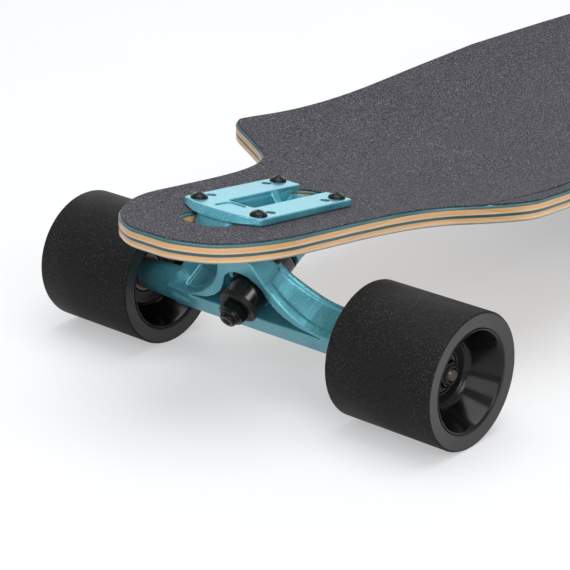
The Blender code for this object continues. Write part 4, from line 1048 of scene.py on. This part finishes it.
def make_enclosure():
    """A moulded tray with rounded lower edges, ribs on its belly and screws along its sides."""
    low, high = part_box("enclosure")
    back, front, half, bottom = low.x, high.x, high.y, low.z
    corner = 0.0180
    wall = 0.0025
    seal = DECK_TOP - DECK_THICKNESS - 0.0023

    def ring(inset, height=None):
        points = rounded_box(back + inset, front - inset, half - inset, max(corner - inset, 0.003), 10)
        long = []
        for a, b in zip(points, points[1:] + points[:1]):
            count = max(1, round((Vector(b) - Vector(a)).length / 0.008))
            long += [Vector(a).lerp(Vector(b), index / count) for index in range(count)]
        return [(x, y, deck_height(x, y, seal) if height is None else height) for x, y in long]

    rings = [ring(0.0044, bottom), ring(0.0030, bottom + 0.0003), ring(0.0013, bottom + 0.0013),
             ring(0.0003, bottom + 0.0030), ring(0.0, bottom + 0.0045), ring(0.0, None), ring(wall, None),
             ring(wall, bottom + wall + 0.001), ring(wall + 0.001, bottom + wall)]
    if len({len(points) for points in rings}) > 1:
        raise ValueError("the rings of the enclosure differ")
    tray = lofted("enclosure_tray", rings, MATERIALS["shell"])
    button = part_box("power_button")
    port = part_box("charge_port")
    cuts = []
    for box, way in ((button, 1), (port, -1)):
        middle = (box[0] + box[1]) / 2
        radius = (box[1].z - box[0].z) / 2 + GAP
        cuts.append(rod("hole", radius, (middle.x, way * (half - 0.01), middle.z),
                        (middle.x, way * (half + 0.01), middle.z), MATERIALS["shell"], None, 48))
    for way in (1, -1):
        cuts.append(rod("hole", 0.0029, (back - 0.01, way * 0.016, 0.056), (back + 0.01, way * 0.016, 0.056),
                        MATERIALS["shell"], None, 24))
    grooves = [block("groove", (back + 0.045, y - 0.0016, bottom - 0.002),
                     (front - 0.045, y + 0.0016, bottom + 0.0009), MATERIALS["shell"])
               for y in (-0.036, -0.024, -0.012, 0.0, 0.012, 0.024, 0.036)]
    for groove in grooves:
        bevelled(groove, 0.0015, 2)
    spots = [(back + 0.018 + index * (front - back - 0.036) / 4, way * (half - 0.0135))
             for index in range(5) for way in (1, -1)]
    sinks = [rod("sink", 0.0036, (x, y, bottom - 0.002), (x, y, bottom + 0.0016),
                 MATERIALS["shell"], None, 28)
             for x, y in spots]
    combined(tray, cuts + grooves + sinks, "DIFFERENCE")
    smooth(tray, 32.0)
    dress(tray, ROOT, "enclosure_shell", "enclosure")
    places = [Matrix.Translation((x, y, bottom + 0.0016)) @ UPSIDE_DOWN for x, y in spots]
    dress(socket_heads("enclosure_screws", 0.0029, 0.0014, places), ROOT, "black_steel")


def make_small_parts():
    """Button, socket, cover and cables."""
    low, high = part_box("power_button")
    middle = (low + high) / 2
    radius = (high.z - low.z) / 2
    outward = Matrix.Translation((middle.x, high.y, middle.z)) @ ALONG_Y
    cap = [(0.0, -0.0004), (radius - 0.0030, -0.0002), (radius - 0.0024, 0.0), (radius - 0.0009, 0.0),
           (radius - 0.0002, -0.0005), (radius, -0.0012), (radius, -0.0075), (0.0, -0.0075)]
    button = turned("power_button_cap", cap, 64, MATERIALS["rubber"], outward, closed=False)
    paint_where(button, MATERIALS["lamp"],
                lambda face: radius - 0.0024 < face.center.xy.length < radius - 0.0009
                and face.center.z > -0.0003)
    dress(button, "power_button", "enclosure_shell", "power_button")
    low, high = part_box("charge_port")
    middle = (low + high) / 2
    radius = (high.z - low.z) / 2
    inward = Matrix.Translation((middle.x, low.y, middle.z)) @ Matrix.Rotation(math.pi / 2, 4, "X")
    bowl = [(radius, -0.0002), (radius - 0.0006, 0.0), (0.0052, 0.0), (0.0048, -0.0006), (0.0048, -0.0070),
            (0.0012, -0.0070), (0.0012, -0.0020), (0.0008, -0.0014), (0.0, -0.0013), (0.0, -0.0090),
            (radius, -0.0090)]
    port = turned("charge_socket", bowl, 56, MATERIALS["shell"], inward)
    paint_where(port, MATERIALS["brass"],
                lambda face: face.center.xy.length < 0.0012 and face.center.z > -0.0069)
    dress(port, ROOT, "enclosure_shell", "charge_port")
    low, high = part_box("charge_port_cover")
    face = low.y + 0.0011
    flap = block("charge_flap", (low.x, face, low.z), (high.x, face + COVER_THICKNESS, high.z - 0.0024),
                 MATERIALS["rubber"])
    tab = block("tab", ((low.x + high.x) / 2 - 0.004, low.y + 0.0002, low.z + 0.0010),
                ((low.x + high.x) / 2 + 0.004, low.y + 0.0015, low.z + 0.0030), MATERIALS["rubber"])
    barrel = rod("barrel", 0.0015, (low.x, *COVER_HINGE), (high.x, *COVER_HINGE),
                 MATERIALS["rubber"], None, 24)
    combined(flap, [tab, barrel], "UNION")
    bevelled(flap, 0.0003, 2)
    dress(flap, "charge_port_cover", "black_bushing", "charge_port_cover")
    repaint("enclosure_gasket", "rubber")
    repaint("battery_pack", "wrap")
    repaint("speed_controller", "case")
    for side in ("left", "right"):
        repaint(f"rear_{side}_motor_cable", "sheath")
        repaint(f"rear_{side}_cable_trunk", "sheath")


# ---------------------------------------------------------------- stage, camera and light
def make_stage():
    """A flat pale floor under an even sky."""
    pale = Nodes("studio_floor", (0.452, 0.457, 0.462), 0.6, 0.0, 0.1)
    pale.shader.inputs["Emission Color"].default_value = (0.985, 0.99, 1.0, 1.0)
    bounce = pale.add("LightPath").outputs["Is Diffuse Ray"]
    pale.set("Emission Strength", pale.span(bounce, 0.0, 1.0, 0.40, 0.0))
    pale.set("Roughness", pale.span(pale.noise(6.0, 2.0), 0.3, 0.7, 0.55, 0.65))
    shape = bmesh.new()
    bmesh.ops.create_grid(shape, x_segments=2, y_segments=2, size=12.0)
    floor = finished("studio_floor", shape, pale.made)
    world = bpy.data.worlds.new("studio")
    world.use_nodes = True
    world.node_tree.nodes["Background"].inputs["Color"].default_value = (0.95, 0.97, 1.0, 1.0)
    world.node_tree.nodes["Background"].inputs["Strength"].default_value = 0.62
    bpy.context.scene.world = world
    bpy.context.scene.view_settings.view_transform = "Standard"


def area_light(name, place, target, size, power):
    lamp = bpy.data.lights.new(name, "AREA")
    lamp.shape = "RECTANGLE"
    lamp.size, lamp.size_y = size
    lamp.energy = power
    obj = bpy.data.objects.new(name, lamp)
    bpy.context.scene.collection.objects.link(obj)
    obj.location = place
    obj.rotation_euler = (Vector(target) - Vector(place)).to_track_quat("-Z", "Y").to_euler()


def make_camera():
    """Looks back along the board from ahead of its left side."""
    azimuth = math.radians(40.70)
    elevation = math.radians(22.28)
    look = -Vector((math.cos(elevation) * math.cos(azimuth), math.cos(elevation) * math.sin(azimuth),
                    math.sin(elevation)))
    side = look.cross(Vector((0.0, 0.0, 1.0))).normalized()
    place = Matrix((side, side.cross(look), -look)).transposed().to_4x4()
    place.translation = (1.1428, 0.7097, 0.4941)
    lens = bpy.data.cameras.new("camera")
    lens.sensor_width = 36.0
    lens.lens = 136.98
    lens.clip_end = 40.0
    camera = bpy.data.objects.new("camera", lens)
    bpy.context.scene.collection.objects.link(camera)
    camera.matrix_world = place
    bpy.context.scene.camera = camera


make_camera()
make_stage()
area_light("top_softbox", (0.2, 0.1, 1.5), (0.2, 0.0, 0.0), (1.3, 1.3), 15.0)
area_light("back_softbox", (-1.3, -1.2, 0.80), (0.25, 0.0, 0.05), (2.0, 1.0), 8.0)
area_light("nose_softbox", (1.5, 0.7, 0.75), (0.3, 0.05, 0.05), (0.9, 0.8), 4.0)
area_light("side_softbox", (0.9, 1.5, 1.0), (0.3, 0.1, 0.05), (1.0, 0.8), 10.0)
make_deck()
make_wheels()
for truck_end in ("front", "rear"):
    make_baseplate(truck_end)
    make_hanger(truck_end)
    make_axle(truck_end)
    make_kingpin(truck_end)
    make_screws(truck_end)
make_enclosure()
make_small_parts()
